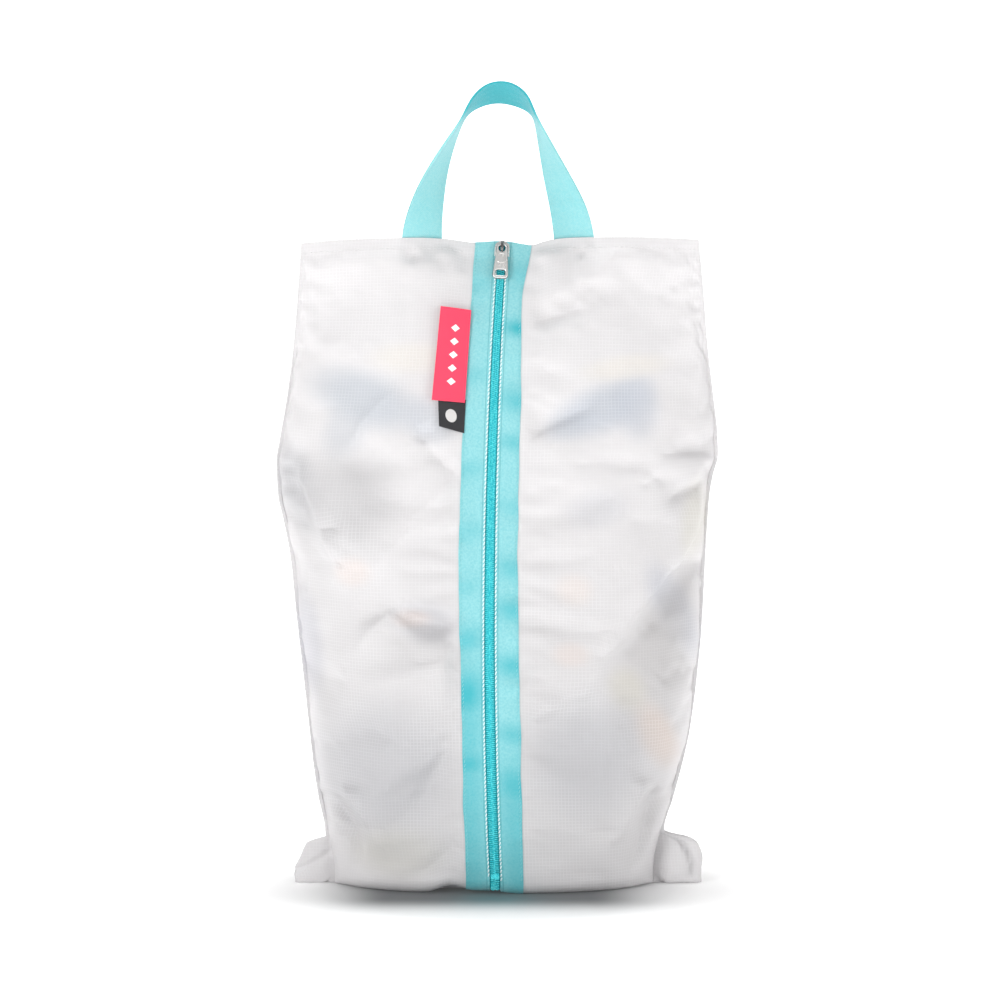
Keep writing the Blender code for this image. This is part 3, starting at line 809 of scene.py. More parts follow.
def thread_material(name, colour):
    m = Nodes(name, Roughness=0.6, Sheen_Weight=0.2)
    twist = m.noise(2500.0, 2.0)
    m.colour(m.mix(twist * 0.35, rgb(*colour), darker(colour, 0.7)))
    m.bump(twist, 0.4, 0.0001)
    return m.material


def nickel_material(name, lit_share):
    """Polished plate. Its darker copies are painted shade, for the parts inside the slider and the plate
    behind the pull tab.
    """
    m = Nodes(name, Metallic=0.62)
    wear = m.noise(260.0, 5.0)
    m.feed(m.shader.inputs["Roughness"], m.ramp(wear, (0.3, 0.16), (0.7, 0.30)))
    m.colour(m.mix(wear * 0.3, darker((0.95, 0.93, 0.91), lit_share), darker((0.68, 0.68, 0.68), lit_share)))
    m.bump(m.noise(1200.0, 2.0), 0.08, 0.0001)
    return m.material


def label_material(name, colour, mark, motif):
    """Woven satin label. motif is given the (u, v) numbers, and says where the mark shows."""
    m = Nodes(name, Roughness=0.55, Sheen_Weight=0.15)
    u, v = m.uv()
    weave = m.wave(u, 0.00042) * m.wave(v + u, 0.00036)
    shown = motif(m, u, v)
    m.colour(m.mix(shown, m.mix(weave * 0.25, rgb(*colour), darker(colour, 0.78)), rgb(*mark)))
    m.bump(weave + shown * 1.5, 0.45, 0.00015)
    return m.material


def diamond_row(m, u, v):
    """A row of small plain diamonds down the middle of the label."""
    pitch, low, high = 0.0040, 0.0080, 0.0480
    inside = abs(u - 0.0100) + abs(m.maths("PINGPONG", v, pitch) - pitch) * 1.15
    return (inside < 0.0026) * ((v > low) * (v < high))


def plain_disc(m, u, v):
    """A plain round dot."""
    dx, dy = u - 0.0080, v - 0.0095
    return m.maths("SQRT", dx * dx + dy * dy) < 0.0036


# ---------------------------------------------------------------- cloth of the bag
# soft tints where what is inside shows through, and grey patches of painted shade beside folds and at the
# sides: centre (x, z), half sizes, slant, colour and weight
SHOW_THROUGH_AND_SHADE_TINTS = [
    ((-0.080, 0.303), (0.036, 0.017), -0.30, (0.55, 0.59, 0.65), 0.66),
    ((-0.092, 0.286), (0.014, 0.022), -0.40, (0.59, 0.62, 0.67), 0.45),
    ((-0.042, 0.291), (0.018, 0.014), -0.50, (0.57, 0.60, 0.66), 0.55),
    ((0.062, 0.297), (0.032, 0.015), 0.35, (0.52, 0.56, 0.63), 0.66),
    ((0.084, 0.300), (0.015, 0.021), 0.10, (0.54, 0.58, 0.66), 0.50),
    ((0.044, 0.288), (0.018, 0.008), 0.35, (0.52, 0.56, 0.63), 0.40),
    ((-0.052, 0.328), (0.026, 0.010), 0.00, (0.90, 0.84, 0.75), 0.40),
    ((0.078, 0.322), (0.028, 0.008), 0.10, (0.90, 0.84, 0.75), 0.40),
    ((-0.122, 0.248), (0.014, 0.028), 0.25, (0.54, 0.54, 0.56), 0.66),
    ((0.060, 0.238), (0.020, 0.012), 0.20, (0.66, 0.66, 0.70), 0.40),
    ((0.120, 0.228), (0.010, 0.026), -0.10, (0.76, 0.73, 0.64), 0.45),
    ((0.107, 0.174), (0.012, 0.034), 0.45, (0.54, 0.56, 0.64), 0.60),
    ((0.095, 0.142), (0.021, 0.056), -0.30, (0.63, 0.61, 0.61), 0.62),
    ((0.097, 0.098), (0.012, 0.024), 0.45, (0.82, 0.68, 0.60), 0.60),
    ((0.078, 0.128), (0.012, 0.016), 0.50, (0.76, 0.72, 0.62), 0.45),
    ((0.055, 0.086), (0.042, 0.042), 0.30, (0.57, 0.57, 0.60), 0.55),
    ((-0.068, 0.078), (0.048, 0.046), -0.20, (0.58, 0.58, 0.61), 0.55),
    ((-0.116, 0.153), (0.010, 0.034), 0.10, (0.60, 0.60, 0.66), 0.50),
    ((-0.042, 0.170), (0.022, 0.014), -0.20, (0.60, 0.60, 0.64), 0.40),
    ((-0.088, 0.200), (0.012, 0.010), 0.00, (0.90, 0.76, 0.70), 0.40),
    ((-0.052, 0.172), (0.012, 0.006), 0.00, (0.90, 0.76, 0.70), 0.40),
    ((0.046, 0.190), (0.012, 0.010), 0.00, (0.90, 0.78, 0.72), 0.40),
    ((0.044, 0.151), (0.012, 0.008), 0.00, (0.90, 0.76, 0.70), 0.40),
    ((-0.062, 0.026), (0.030, 0.018), 0.00, (0.78, 0.76, 0.68), 0.35),
    ((-0.093, 0.242), (0.034, 0.032), 0.20, (0.58, 0.57, 0.58), 0.62),
]
TINT_GAIN, MOST_TINT = 1.25, 0.85
BACK_TINT = 0.5            # the tints are fainter on the back
CLOTH_COLOUR = (0.820, 0.800, 0.808)
THIN_CLOTH = 0.79          # part of the light passes through the cloth
LOWER_SHADE = 0.82         # painted shade: the body's colour is a little darker low down, fading out above and right at the floor
GROOVE_SHADE = 0.22        # the rolled corner's groove is darker


def tint_cloth(made, strength):
    """Writes the cloth's colour at each point into the mesh, for the ripstop material: what shows through
    from inside, with painted shade at folds, low on the body and in the rolled corner's groove.
    """
    co = np.empty(len(made.data.vertices) * 3)
    made.data.vertices.foreach_get("co", co)
    x, _, z = co.reshape(-1, 3).T
    colour = np.tile(np.array(CLOTH_COLOUR), (len(x), 1))
    for (middle_x, middle_z), (wide, tall), slant, tone, weight in SHOW_THROUGH_AND_SHADE_TINTS:
        dx, dz = x - middle_x, z - middle_z
        across = dx * math.cos(slant) + dz * math.sin(slant)
        up = dz * math.cos(slant) - dx * math.sin(slant)
        away = np.sqrt((across / wide) ** 2 + (up / tall) ** 2)
        share = min(TINT_GAIN * weight, MOST_TINT) * strength * (1 - ease(0.40, 1.30, away))
        colour = colour * (1 - share[:, None]) + np.array(tone) * share[:, None]
    body = ease(-0.002, 0.010, body_edge(x, z) - np.abs(x))
    # painted shade low on the body, none right at the floor
    lower_painted_shade = ease(0.0, 0.045, z) * (1 - ease(0.10, 0.30, z))
    colour *= (1 - (1 - LOWER_SHADE) * body * lower_painted_shade)[:, None]
    colour *= THIN_CLOTH * (1 - GROOVE_SHADE * rolled_groove(x, z))[:, None]
    write_colours(made, "inside", colour)


def press_flat(front, plain):
    """The labels hold down the cloth behind them."""
    x, z = plain[..., 0], plain[..., 2]
    under = ease(-0.078, -0.040, x) * (1 - ease(-0.018, -0.012, x))
    under = under * ease(0.240, 0.284, z) * (1 - ease(0.358, 0.394, z))
    out = grid_normals(plain)
    raised = np.sum((front - plain) * out, axis=-1)
    return front - (under * np.maximum(raised, 0.0))[..., None] * out


def bag_grids():
    """The front's and the back's fine grids, each with the coordinates of its weave."""
    front, back = coarse_grid(-1), coarse_grid(1)
    weave = [weave_coordinates(refine(grid, FINE), CENTRE) for grid in (front, back)]
    plain = refine(front, FINE)
    front, back = simulate([front, back])
    front, back = crumple(refine(front, FINE), -1), crumple(refine(back, FINE), 1)
    front = press_flat(front, plain)
    return (front, weave[0]), (back, weave[1])


def middle_row(grid):
    return int(np.argmin(np.abs(grid[:, CENTRE, 2] - MIDDLE)))


def halves(first, last, middle):
    """The upper and the lower part of a piece's rows, which share the middle row."""
    return (("upper", slice(first, middle + 1)), ("lower", slice(middle, last)))


UPPER_BLEND = ((0.0, 0.0, TOP), (0.0, 0.0, TOP - 0.037))
LOWER_BLEND = ((0.0, 0.0, 0.006), (0.0, 0.0, 0.120))


def hang(made, half, side, *nodes, slot):
    """A piece of one half of the front. It hides the solid nodes that the piece shows, and keeps the piece
    where it is.
    """
    start, end = UPPER_BLEND if half == "upper" else LOWER_BLEND
    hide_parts(*nodes)
    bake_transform(made)


def make_cloth(front, back, front_weave, back_weave, material):
    back = back[:, ::-1]
    made = sheet("back_cloth", back, grid_normals(back), back_weave[:, ::-1], CLOTH_THICK, material)
    tint_cloth(made, BACK_TINT)
    declare(made, "ripstop", "bag_body", "back_panel")
    normals = grid_normals(front)
    edge = FINE * STRIP.index(PANEL_EDGE)
    for side, span in (("left", slice(0, CENTRE - edge + 1)), ("right", slice(CENTRE + edge, None))):
        for half, rows in halves(0, len(front), middle_row(front)):
            name, part = f"front_{side}_cloth_{half}", (rows, span)
            made = sheet(name, front[part], normals[part], front_weave[part], CLOTH_THICK, material)
            tint_cloth(made, 1.0)
            hang(made, half, side, f"front_{side}_panel", slot="ripstop")


# ---------------------------------------------------------------- zip, ribbons and sewing
class Strip:
    """The front's surface beside the zip, read at a distance from the zip's centre line."""

    def __init__(self, front):
        reach = FINE * (len(STRIP) - 1) + 4
        self.points = front[:, CENTRE - reach : CENTRE + reach + 1]
        run = distances(self.points)
        self.away = run - run[:, reach : reach + 1]
        self.normals = -grid_normals(self.points)
        if self.normals[10, reach, 1] > 0:
            self.normals = -self.normals
        spine = self.points[:, reach]
        self.down = distances(spine)
        self.heights = spine[:, 2]

    def at(self, distance):
        """For each row, the surface point and normal at a signed distance from the zip."""
        rows = zip(np.broadcast_to(distance, self.down.shape), self.away, self.points, self.normals)
        found = [(read(off, away, points), read(off, away, normals)) for off, away, points, normals in rows]
        place, normal = np.array(found).transpose(1, 0, 2)
        return place, unit(normal)

    def along(self, distance, lift, spacing, low, high):
        """Points at even spacing down the zip between two heights, with their normals."""
        place, normal = self.at(distance)
        use = (self.heights <= high + 1e-9) & (self.heights >= low - 1e-9)
        first, last = np.flatnonzero(use)[[0, -1]]
        run = self.down[first : last + 1]
        count = max(2, int((run[-1] - run[0]) / spacing))
        where = np.linspace(run[0], run[-1], count + 1)
        out = unit(read(where, run, normal[first : last + 1]))
        return read(where, run, place[first : last + 1]) + lift * out, out


def strip_grid(strip, hand, inner, outer, lift):
    """Points and weave coordinates over the front beside the zip, between two distances and lifted off."""
    points, coordinates = [], []
    for share in range(STRIP_STEPS + 1):
        away = inner + (outer - inner) * share / STRIP_STEPS
        place, normal = strip.at(hand * away)
        points.append(place + lift * normal)
        coordinates.append(np.stack([np.broadcast_to(hand * away, strip.down.shape), strip.down], axis=-1))
    grid, uv = np.stack(points, axis=1), np.stack(coordinates, axis=1)
    return (grid[:, ::-1], uv[:, ::-1]) if hand < 0 else (grid, uv)


# painted shade: darker bands where each ribbon dips between its gathers: height, half size and weight
HOLLOW_SHADES = {
    -1: [
        (0.372, 0.006, 0.25), (0.318, 0.005, 0.30), (0.262, 0.006, 0.30), (0.225, 0.006, 0.30),
        (0.192, 0.006, 0.25), (0.160, 0.008, 0.60), (0.127, 0.015, 0.90), (0.084, 0.009, 0.80),
        (0.052, 0.006, 0.35), (0.020, 0.012, 0.45),
    ],
    1: [
        (0.378, 0.008, 0.35), (0.346, 0.005, 0.95), (0.303, 0.007, 0.60), (0.278, 0.005, 0.50),
        (0.240, 0.006, 0.30), (0.203, 0.007, 0.50), (0.178, 0.007, 0.65), (0.144, 0.007, 0.70),
        (0.102, 0.007, 0.55), (0.070, 0.014, 0.75), (0.036, 0.006, 0.40), (0.014, 0.010, 0.50),
    ],
}
FULL_FROM = {-1: (0.100, 0.190), 1: (0.050, 0.120)}    # below these heights the ribbons are drawn darker
TAPE_LIFT = -0.0007        # the zip's tapes lie behind the panels' edges
STRIP_STEPS = 10


def hollows(hand, grid):
    """How dark each point of a ribbon is drawn, from 0 to 1: painted shade where it lies in its hollows, and
    darker low down. All of it is strongest at its edge.
    """
    x, z = grid[..., 0], grid[..., 2]
    away = np.abs(x - zip_line(np.clip(z, CORNER, TOP))[..., 0])
    low, high = FULL_FROM[hand]
    total = 0.5 * (1 - ease(low, high, z))
    for height, size, weight in HOLLOW_SHADES[hand]:
        slanted = z - height + 0.12 * (away - 0.010)
        total = np.maximum(total, weight * np.exp(-((slanted / size) ** 2)))
    return total * (0.55 + 0.45 * ease(0.004, 0.013, away))


def ribbon_gap(strip):
    """The ribbon's inner edge for each row."""
    return through(RIBBON_IN, strip.heights)


def ribbon_edge(strip, hand):
    """The ribbon's outer edge for each row, a little uneven where the sewing gathers it."""
    uneven = np.array([noise.noise(Vector((hand * 3.1, 0.0, h * 45))) for h in strip.heights])
    return through(RIBBON_EDGE[hand], strip.heights) + 0.0007 * uneven


def make_ribbons(strip, middle, ribbon_end, materials):
    for side, hand in SIDES:
        inner, outer = ribbon_gap(strip), ribbon_edge(strip, hand)
        for node, inside, outside, lift, thick, last in (
            ("ribbon", inner, outer, RIBBON_LIFT, RIBBON_THICK, ribbon_end),
            ("zip_tape", TAPE_IN, TAPE_OUT, TAPE_LIFT, TAPE_THICK, len(strip.down)),
        ):
            grid, uv = strip_grid(strip, hand, inside, outside, lift)
            normals = grid_normals(grid)
            for half, rows in halves(0, last, middle):
                name = f"{node}_{side}_{half}"
                made = sheet(name, grid[rows], normals[rows], uv[rows], thick, materials[node])
                paint(made, "hollow", hollows(hand, grid[rows]))
                hang(made, half, side, f"{node}_{side}", slot=node)


def split_run(points):
    """The upper and the lower part of a run of points that goes down. They share the middle point."""
    cut = int(np.argmax(points[:, 2] < MIDDLE))
    return (("upper", slice(0, cut + 1)), ("lower", slice(cut, None)))


LOOP_POINTS = 10
# how far the wire's loops reach from the chain's middle, as shares of the way to the ribbon
LOOP_MIDDLE, LOOP_HALF = 0.36, 0.42
LOOP_LIFT, LOOP_RISE = 0.00035, 0.00070


def make_coils(strip, material):
    """Each side of the chain is one nylon wire wound in flat loops that interlock in the middle."""
    place, out = strip.along(0.0, 0.0, COIL_PITCH / LOOP_POINTS, COIL_BOTTOM, COIL_TOP)
    across = unit(np.cross(out, np.gradient(place, axis=0)))
    across = across * np.sign(across[:, :1])
    for side, hand in SIDES:
        phase = 2 * math.pi * np.arange(len(place)) / LOOP_POINTS + (math.pi if hand > 0 else 0.0)
        sideways = hand * (LOOP_MIDDLE - LOOP_HALF * np.cos(phase)) * through(RIBBON_IN, place[:, 2])
        height = LOOP_LIFT + LOOP_RISE * np.sin(phase)
        path = place + across * sideways[:, None] + out * height[:, None]
        for half, part in split_run(place):
            made = tubes_object(f"zip_coil_{side}_{half}", [path[part]], COIL_WIRE, [out[part]], material)
            hang(made, half, side, f"zip_coil_{side}", slot="zip_coil")


def make_bottom_stop(strip, material):
    """A small moulded block that closes the lower end of the chain."""
    place, out = strip.along(0.0, 0.0, 0.001, CORNER, CORNER + 0.006)
    upward = unit(place[0] - place[-1])
    across = unit(np.cross(upward, out[0]))
    matrix = local_frame(place[len(place) // 2], across, upward, np.cross(across, upward))
    block = [((-0.0026, -0.0016, -0.0008), (0.0026, 0.0016, 0.0010))]
    made = mesh_piece("bottom_stop", lambda bm: boxes(bm, block), 0.0004, matrix, material)
    declare(made, "zip_coil", "bag_body", "zip_bottom_stop")


# the height of a stitch at places along it, as a share of its rise
STITCH_ALONG = np.array([0.0, 0.12, 0.35, 0.65, 0.88, 1.0])
STITCH_ARCH = np.array([-0.9, 0.35, 1.0, 1.0, 0.35, -0.9])
RIBBON_STITCH = (0.0017, 0.0009)        # length and gap
SEAM_STITCH = (0.0024, 0.0008)
STITCH_SLANT = 0.0006
# radius of each thread, and how far the ribbons' sewing lies inside their edges
BOLD_THREAD, FINE_THREAD, SEAM_THREAD = 0.00038, 0.00020, 0.00018
INNER_MARGIN, OUTER_MARGIN = 0.0006, 0.0012
SEWN_BELOW = TOP - 0.004


def stitch_paths(place, out, length, gap, rise, slant=0.0):
    """Short arched paths along a line of sewing. Each end dips into the cloth."""
    run = distances(place)
    side = unit(np.cross(np.gradient(place, axis=0), out))
    paths, references = [], []
    start = gap
    while start + length < run[-1]:
        where = start + STITCH_ALONG * length
        point, normal, aside = (read(where, run, values) for values in (place, out, side))
        raised = point + normal * (STITCH_ARCH * rise)[:, None]
        paths.append(raised + aside * (slant * (STITCH_ALONG - 0.5))[:, None])
        references.append(unit(normal))
        start += length + gap
    return paths, references


def make_ribbon_stitches(strip, materials):
    """Bold pale stitches along each ribbon's inner edge, and fine ones of its own colour at the outer."""
    lift = RIBBON_LIFT + RIBBON_THICK / 2
    for side, hand in SIDES:
        for line, distance, thread, material in (
            ("inner", ribbon_gap(strip) + INNER_MARGIN, BOLD_THREAD, materials["thread"]),
            ("outer", ribbon_edge(strip, hand) - OUTER_MARGIN, FINE_THREAD, materials["ribbon_thread"]),
        ):
            place, out = strip.along(hand * distance, lift, 0.0005, CORNER, SEWN_BELOW)
            paths, references = stitch_paths(place, out, *RIBBON_STITCH, thread * 0.8, STITCH_SLANT)
            above = np.array([path[:, 2].mean() > MIDDLE for path in paths])
            node = f"ribbon_{side}_{line}_stitch"
            for half, chosen in (("upper", above), ("lower", ~above)):
                picked = np.flatnonzero(chosen)
                arches, facing = [paths[k] for k in picked], [references[k] for k in picked]
                made = tubes_object(f"{node}_{half}", arches, thread, facing, material)
                hang(made, half, side, node, slot="thread")


# ---------------------------------------------------------------- seams of the bag
TOP_SEWING = 0.0085        # distance of the top seam's stitches from the top
SIDE_SEWING_END = 0.050    # height at which the side seams' stitches end
BINDING_END = 0.003


def sew(node, place, out, material):
    """A row of stitches on the body, in place of a stitching node of the solids."""
    paths, references = stitch_paths(place + out * CLOTH_THICK / 2, out, *SEAM_STITCH, SEAM_THREAD)
    made = tubes_object(f"{node}_sewing", paths, SEAM_THREAD, references, material)
    declare(made, "white_thread", "bag_body", node)


def fill_seam(name, grid, material, *nodes):
    """A flat layer between the front's and the back's edges."""
    thick = 2 * SEAM_DEPTH - CLOTH_THICK
    made = sheet(name, grid, grid_normals(grid), weave_coordinates(grid, 0), thick, material)
    declare(made, "white_thread", "bag_body", *nodes)


def make_seams(front, back, material):
    """Sewing near the side and top edges of the front, and the binding between front and back."""
    normals = grid_normals(front)
    beside_ribbon = FINE * (len(STRIP) - 1) + 1
    top_row = int(np.argmax(front[:, CENTRE, 2] < TOP - TOP_SEWING))
    for side, hand, edge in (("left", -1, 0), ("right", 1, front.shape[1] - 1)):
        rows = slice(4, int(np.argmax(front[:, edge, 2] < SIDE_SEWING_END)))
        column = edge - hand * FIN_COLUMNS
        sew(f"side_seam_stitch_{side}", front[rows, column], normals[rows, column], material)
        span = slice(6, CENTRE - beside_ribbon) if hand < 0 else slice(CENTRE + beside_ribbon, edge - 6)
        sew(f"top_seam_stitch_{side}", front[top_row, span], normals[top_row, span], material)

        rows = slice(2, int(np.argmax(front[:, edge, 2] < BINDING_END)))
        outer = 0.5 * (front[rows, edge] + back[rows, edge])
        inner = 0.5 * (front[rows, column] + back[rows, column])
        grid = np.stack([outer * (1 - s) + inner * s for s in (0.1, 0.4, 0.7, 1.0)], axis=1)
        node = f"side_seam_binding_{side}"
        fill_seam(f"{node}_tape", grid, material, node)
        line = front[0, span] * [1.0, 0.0, 1.0]
        grid = np.stack([line - [0, 0, down] for down in (0.0005, 0.002, 0.004)])
        fill_seam(f"top_seam_allowance_{side}", grid, material)


# ---------------------------------------------------------------- slider and pull tab
# the pull tab's pin in the slider's own frame: X across, Y up along the chain, Z out of the bag
PIN = (0.0, 0.0021, 0.00345)


def local_frame(origin, across, upward, out):
    """A placement from an origin and three axes."""
    turn = Matrix(np.stack([across, upward, out], axis=1).tolist()).to_4x4()
    return Matrix.Translation(origin.tolist()) @ turn


def slider_frame():
    """The slider's own frame, with its origin on the chain."""
    across = unit(-np.array(JOINTS["puller_flip"]["axis"]))
    upward = unit(np.cross(unit(PIVOT - ARC_CENTRE), ARC_AXIS))
    upward = unit(upward - across * (upward @ across))
    out = np.cross(across, upward)
    return local_frame(PIVOT - upward * PIN[1] - out * PIN[2], across, upward, out)


def plate(bm, outline_points, low, high):
    """Adds a plate with a given outline to a bmesh."""
    bottom, top = ([bm.verts.new((x, y, z)) for x, y in outline_points] for z in (low, high))
    bm.faces.new(bottom[::-1])
    bm.faces.new(top)
    side_faces(bm, bottom, top)


def side_faces(bm, ring, following):
    """Joins two rings of vertices."""
    for k in range(len(ring)):
        n = (k + 1) % len(ring)
        bm.faces.new((ring[k], ring[n], following[n], following[k]))


def slider_outline(grow=0.0):
    """Half-round shoulders at the top and a narrower lower end."""
    points = []
    for k in range(9):
        turn = math.radians(20 + 140 * k / 8)
        points.append(((0.0047 + grow) * math.cos(turn), 0.0010 + (0.0042 + grow) * math.sin(turn)))
    points += [(-0.0043 - grow, -0.0012), (-0.0037 - grow, -0.0048 - grow)]
    points += [(0.0037 + grow, -0.0048 - grow), (0.0043 + grow, -0.0012)]
    return points


def boxes(bm, corners):
    """Adds blocks to a bmesh, each from its lowest to its highest corner."""
    for low, high in corners:
        size = [h - l for l, h in zip(low, high)]
        middle = [(l + h) / 2 for l, h in zip(low, high)]
        matrix = Matrix.Translation(middle) @ Matrix.Diagonal((*size, 1.0))
        bmesh.ops.create_cube(bm, size=1.0, matrix=matrix)


def mesh_piece(name, build, width, matrix, material):
    """A piece that a function builds in a bmesh, with its edges rounded."""
    bm = bmesh.new()
    build(bm)
    mesh = bpy.data.meshes.new(name)
    bm.to_mesh(mesh)
    bm.free()
    made = add_object(name, mesh, material)
    made.matrix_world = matrix
    bevel = made.modifiers.new("edges", "BEVEL")
    bevel.width = width
    bevel.segments = 3
    bevel.limit_method = "ANGLE"
    bevel.angle_limit = math.radians(30)
    bevel.harden_normals = False
    mesh.shade_smooth()
    return made


# blocks as their lowest and highest corners, in the slider's own frame
FLANGES = [
    ((-0.0046, -0.0044, 0.0006), (-0.0036, 0.0018, 0.0016)),
    ((0.0036, -0.0044, 0.0006), (0.0046, 0.0018, 0.0016)),
]
WEDGE = [((-0.0009, 0.0024, -0.0026), (0.0009, 0.0044, 0.0018))]


def back_plate(bm):
    plate(bm, slider_outline(-0.0002), -0.0032, -0.0023)


def make_slider(materials):
    """Two plates joined by a wedge, with flanges at the sides and a bridge that holds the pull tab."""
    place = slider_frame()
    outlines = [slider_outline(), rounded(0.0050, 0.0044, 0.0022, -0.0034, 0.0016)]
    over = place @ Matrix.Translation((0.0, 0.0, 0.0019))
    front = curve_plate("slider_front_plate", outlines, 0.0011, 0.0003, over, materials["nickel"])
    declare(front, "nickel", "slider", "slider_body")
    # the back plate and the wedge in the darkest nickel, and the bridge in shaded nickel: painted shade
    # inside the slider
    for name, build, width, metal in (
        ("slider_back_plate", back_plate, 0.0003, "nickel_deep_shade"),
        ("slider_flanges", lambda bm: boxes(bm, FLANGES), 0.0002, "nickel"),
        ("slider_wedge", lambda bm: boxes(bm, WEDGE), 0.0002, "nickel_deep_shade"),
        ("slider_bridge", bridge_band, 0.00018, "nickel_shade"),
    ):
        declare(mesh_piece(name, build, width, place, materials[metal]), "nickel", "slider")


def bridge_band(bm):
    """An arched strap over the slider's face that holds the pull tab."""
    half_wide, thick, steps = 0.0008, 0.0008, 12
    rings = []
    for k in range(steps + 1):
        turn = math.pi * k / steps
        outer = Vector((0.0, 0.0014 + 0.0036 * math.cos(turn), 0.0022 + 0.0030 * math.sin(turn) ** 0.7))
        inner = outer - Vector((0.0, math.cos(turn), math.sin(turn))) * thick
        corners = ((-half_wide, inner), (half_wide, inner), (half_wide, outer), (-half_wide, outer))
        rings.append([bm.verts.new((x, point.y, point.z)) for x, point in corners])
    for ring, following in zip(rings, rings[1:]):
        side_faces(bm, ring, following)
    bm.faces.new(rings[0])
    bm.faces.new(rings[-1][::-1])
    bmesh.ops.recalc_face_normals(bm, faces=bm.faces)


ROUND_STEPS = 6


def rounded(wide_top, wide_bottom, top, bottom, radius):
    """Points round a four-cornered outline with rounded corners."""
    corners = [
        (wide_top / 2, top, 0.0), (-wide_top / 2, top, 90.0),
        (-wide_bottom / 2, bottom, 180.0), (wide_bottom / 2, bottom, 270.0),
    ]
    points = []
    for x, y, start in corners:
        middle = (x - math.copysign(radius, x), y - math.copysign(radius, y - (top + bottom) / 2))
        for k in range(ROUND_STEPS + 1):
            turn = math.radians(start + 90.0 * k / ROUND_STEPS)
            points.append((middle[0] + radius * math.cos(turn), middle[1] + radius * math.sin(turn)))
    return points


def curve_plate(name, outlines, thickness, bevel, matrix, material):
    """A plate with holes, from flat outlines, with rounded edges."""
    curve = bpy.data.curves.new(name, "CURVE")
    curve.dimensions = "2D"
    curve.fill_mode = "BOTH"
    curve.extrude = thickness / 2 - bevel
    curve.bevel_depth = bevel
    curve.bevel_resolution = 2
    curve.offset = -bevel
    for points in outlines:
        spline = curve.splines.new("POLY")
        spline.points.add(len(points) - 1)
        spline.use_cyclic_u = True
        for knot, (x, y) in zip(spline.points, points):
            knot.co = (x, y, 0.0, 1.0)
    maker = bpy.data.objects.new(name + "_curve", curve)
    bpy.context.scene.collection.objects.link(maker)
    bpy.context.view_layer.update()
    mesh = bpy.data.meshes.new_from_object(maker.evaluated_get(bpy.context.evaluated_depsgraph_get()))
    bpy.data.objects.remove(maker)
    bm = bmesh.new()
    bm.from_mesh(mesh)
    bmesh.ops.remove_doubles(bm, verts=bm.verts, dist=0.00002)
    bm.to_mesh(mesh)
    bm.free()
    mesh.materials.clear()
    mesh.shade_smooth()
    mesh.set_sharp_from_angle(angle=math.radians(40))
    made = add_object(name, mesh, material)
    made.matrix_world = matrix
    return made


PULLER_TOP = 0.0007
PULLER_TIP = -0.0218
EYE, WINDOW, RING = PULLER_TOP - 0.0010, PULLER_TIP + 0.0017, PULLER_TOP - 0.0062


def make_puller(materials):
    """A tab that widens towards its tip, with an eye for the bridge, a window, and a raised plain ring."""
    place = slider_frame() @ Matrix.Translation(PIN)
    tab = [
        rounded(0.0062, 0.0092, PULLER_TOP, PULLER_TIP, 0.0022),
        rounded(0.0044, 0.0040, EYE, EYE - 0.0042, 0.0016),
        rounded(0.0060, 0.0064, WINDOW + 0.0039, WINDOW, 0.0012),
    ]
    # a slightly larger plate in shaded nickel behind the tab: painted shade, a dark outline round it
    edge = [
        rounded(0.0067, 0.0097, PULLER_TOP + 0.0002, PULLER_TIP - 0.0003, 0.0024),
        rounded(0.0041, 0.0037, EYE - 0.0002, EYE - 0.0040, 0.0014),
        rounded(0.0056, 0.0060, WINDOW + 0.0037, WINDOW + 0.0002, 0.0010),
    ]
    ring = [
        rounded(0.0044, 0.0052, RING, RING - 0.0064, 0.0020),
        rounded(0.0036, 0.0044, RING - 0.0004, RING - 0.0060, 0.0016),
    ]
    for name, outlines, thick, bevel, lift, metal, nodes in (
        ("pull_tab", tab, 0.0012, 0.00035, 0.0, "nickel", ["slider_puller"]),
        ("pull_tab_shade_outline", edge, 0.0005, 0.00015, -0.00045, "nickel_shade", []),
        ("pull_tab_rim", ring, 0.0004, 0.00008, 0.0007, "nickel", []),
    ):
        matrix = place @ Matrix.Translation((0.0, 0.0, lift))
        made = curve_plate(name, outlines, thick, bevel, matrix, materials[metal])
        declare(made, "nickel", "puller", *nodes)


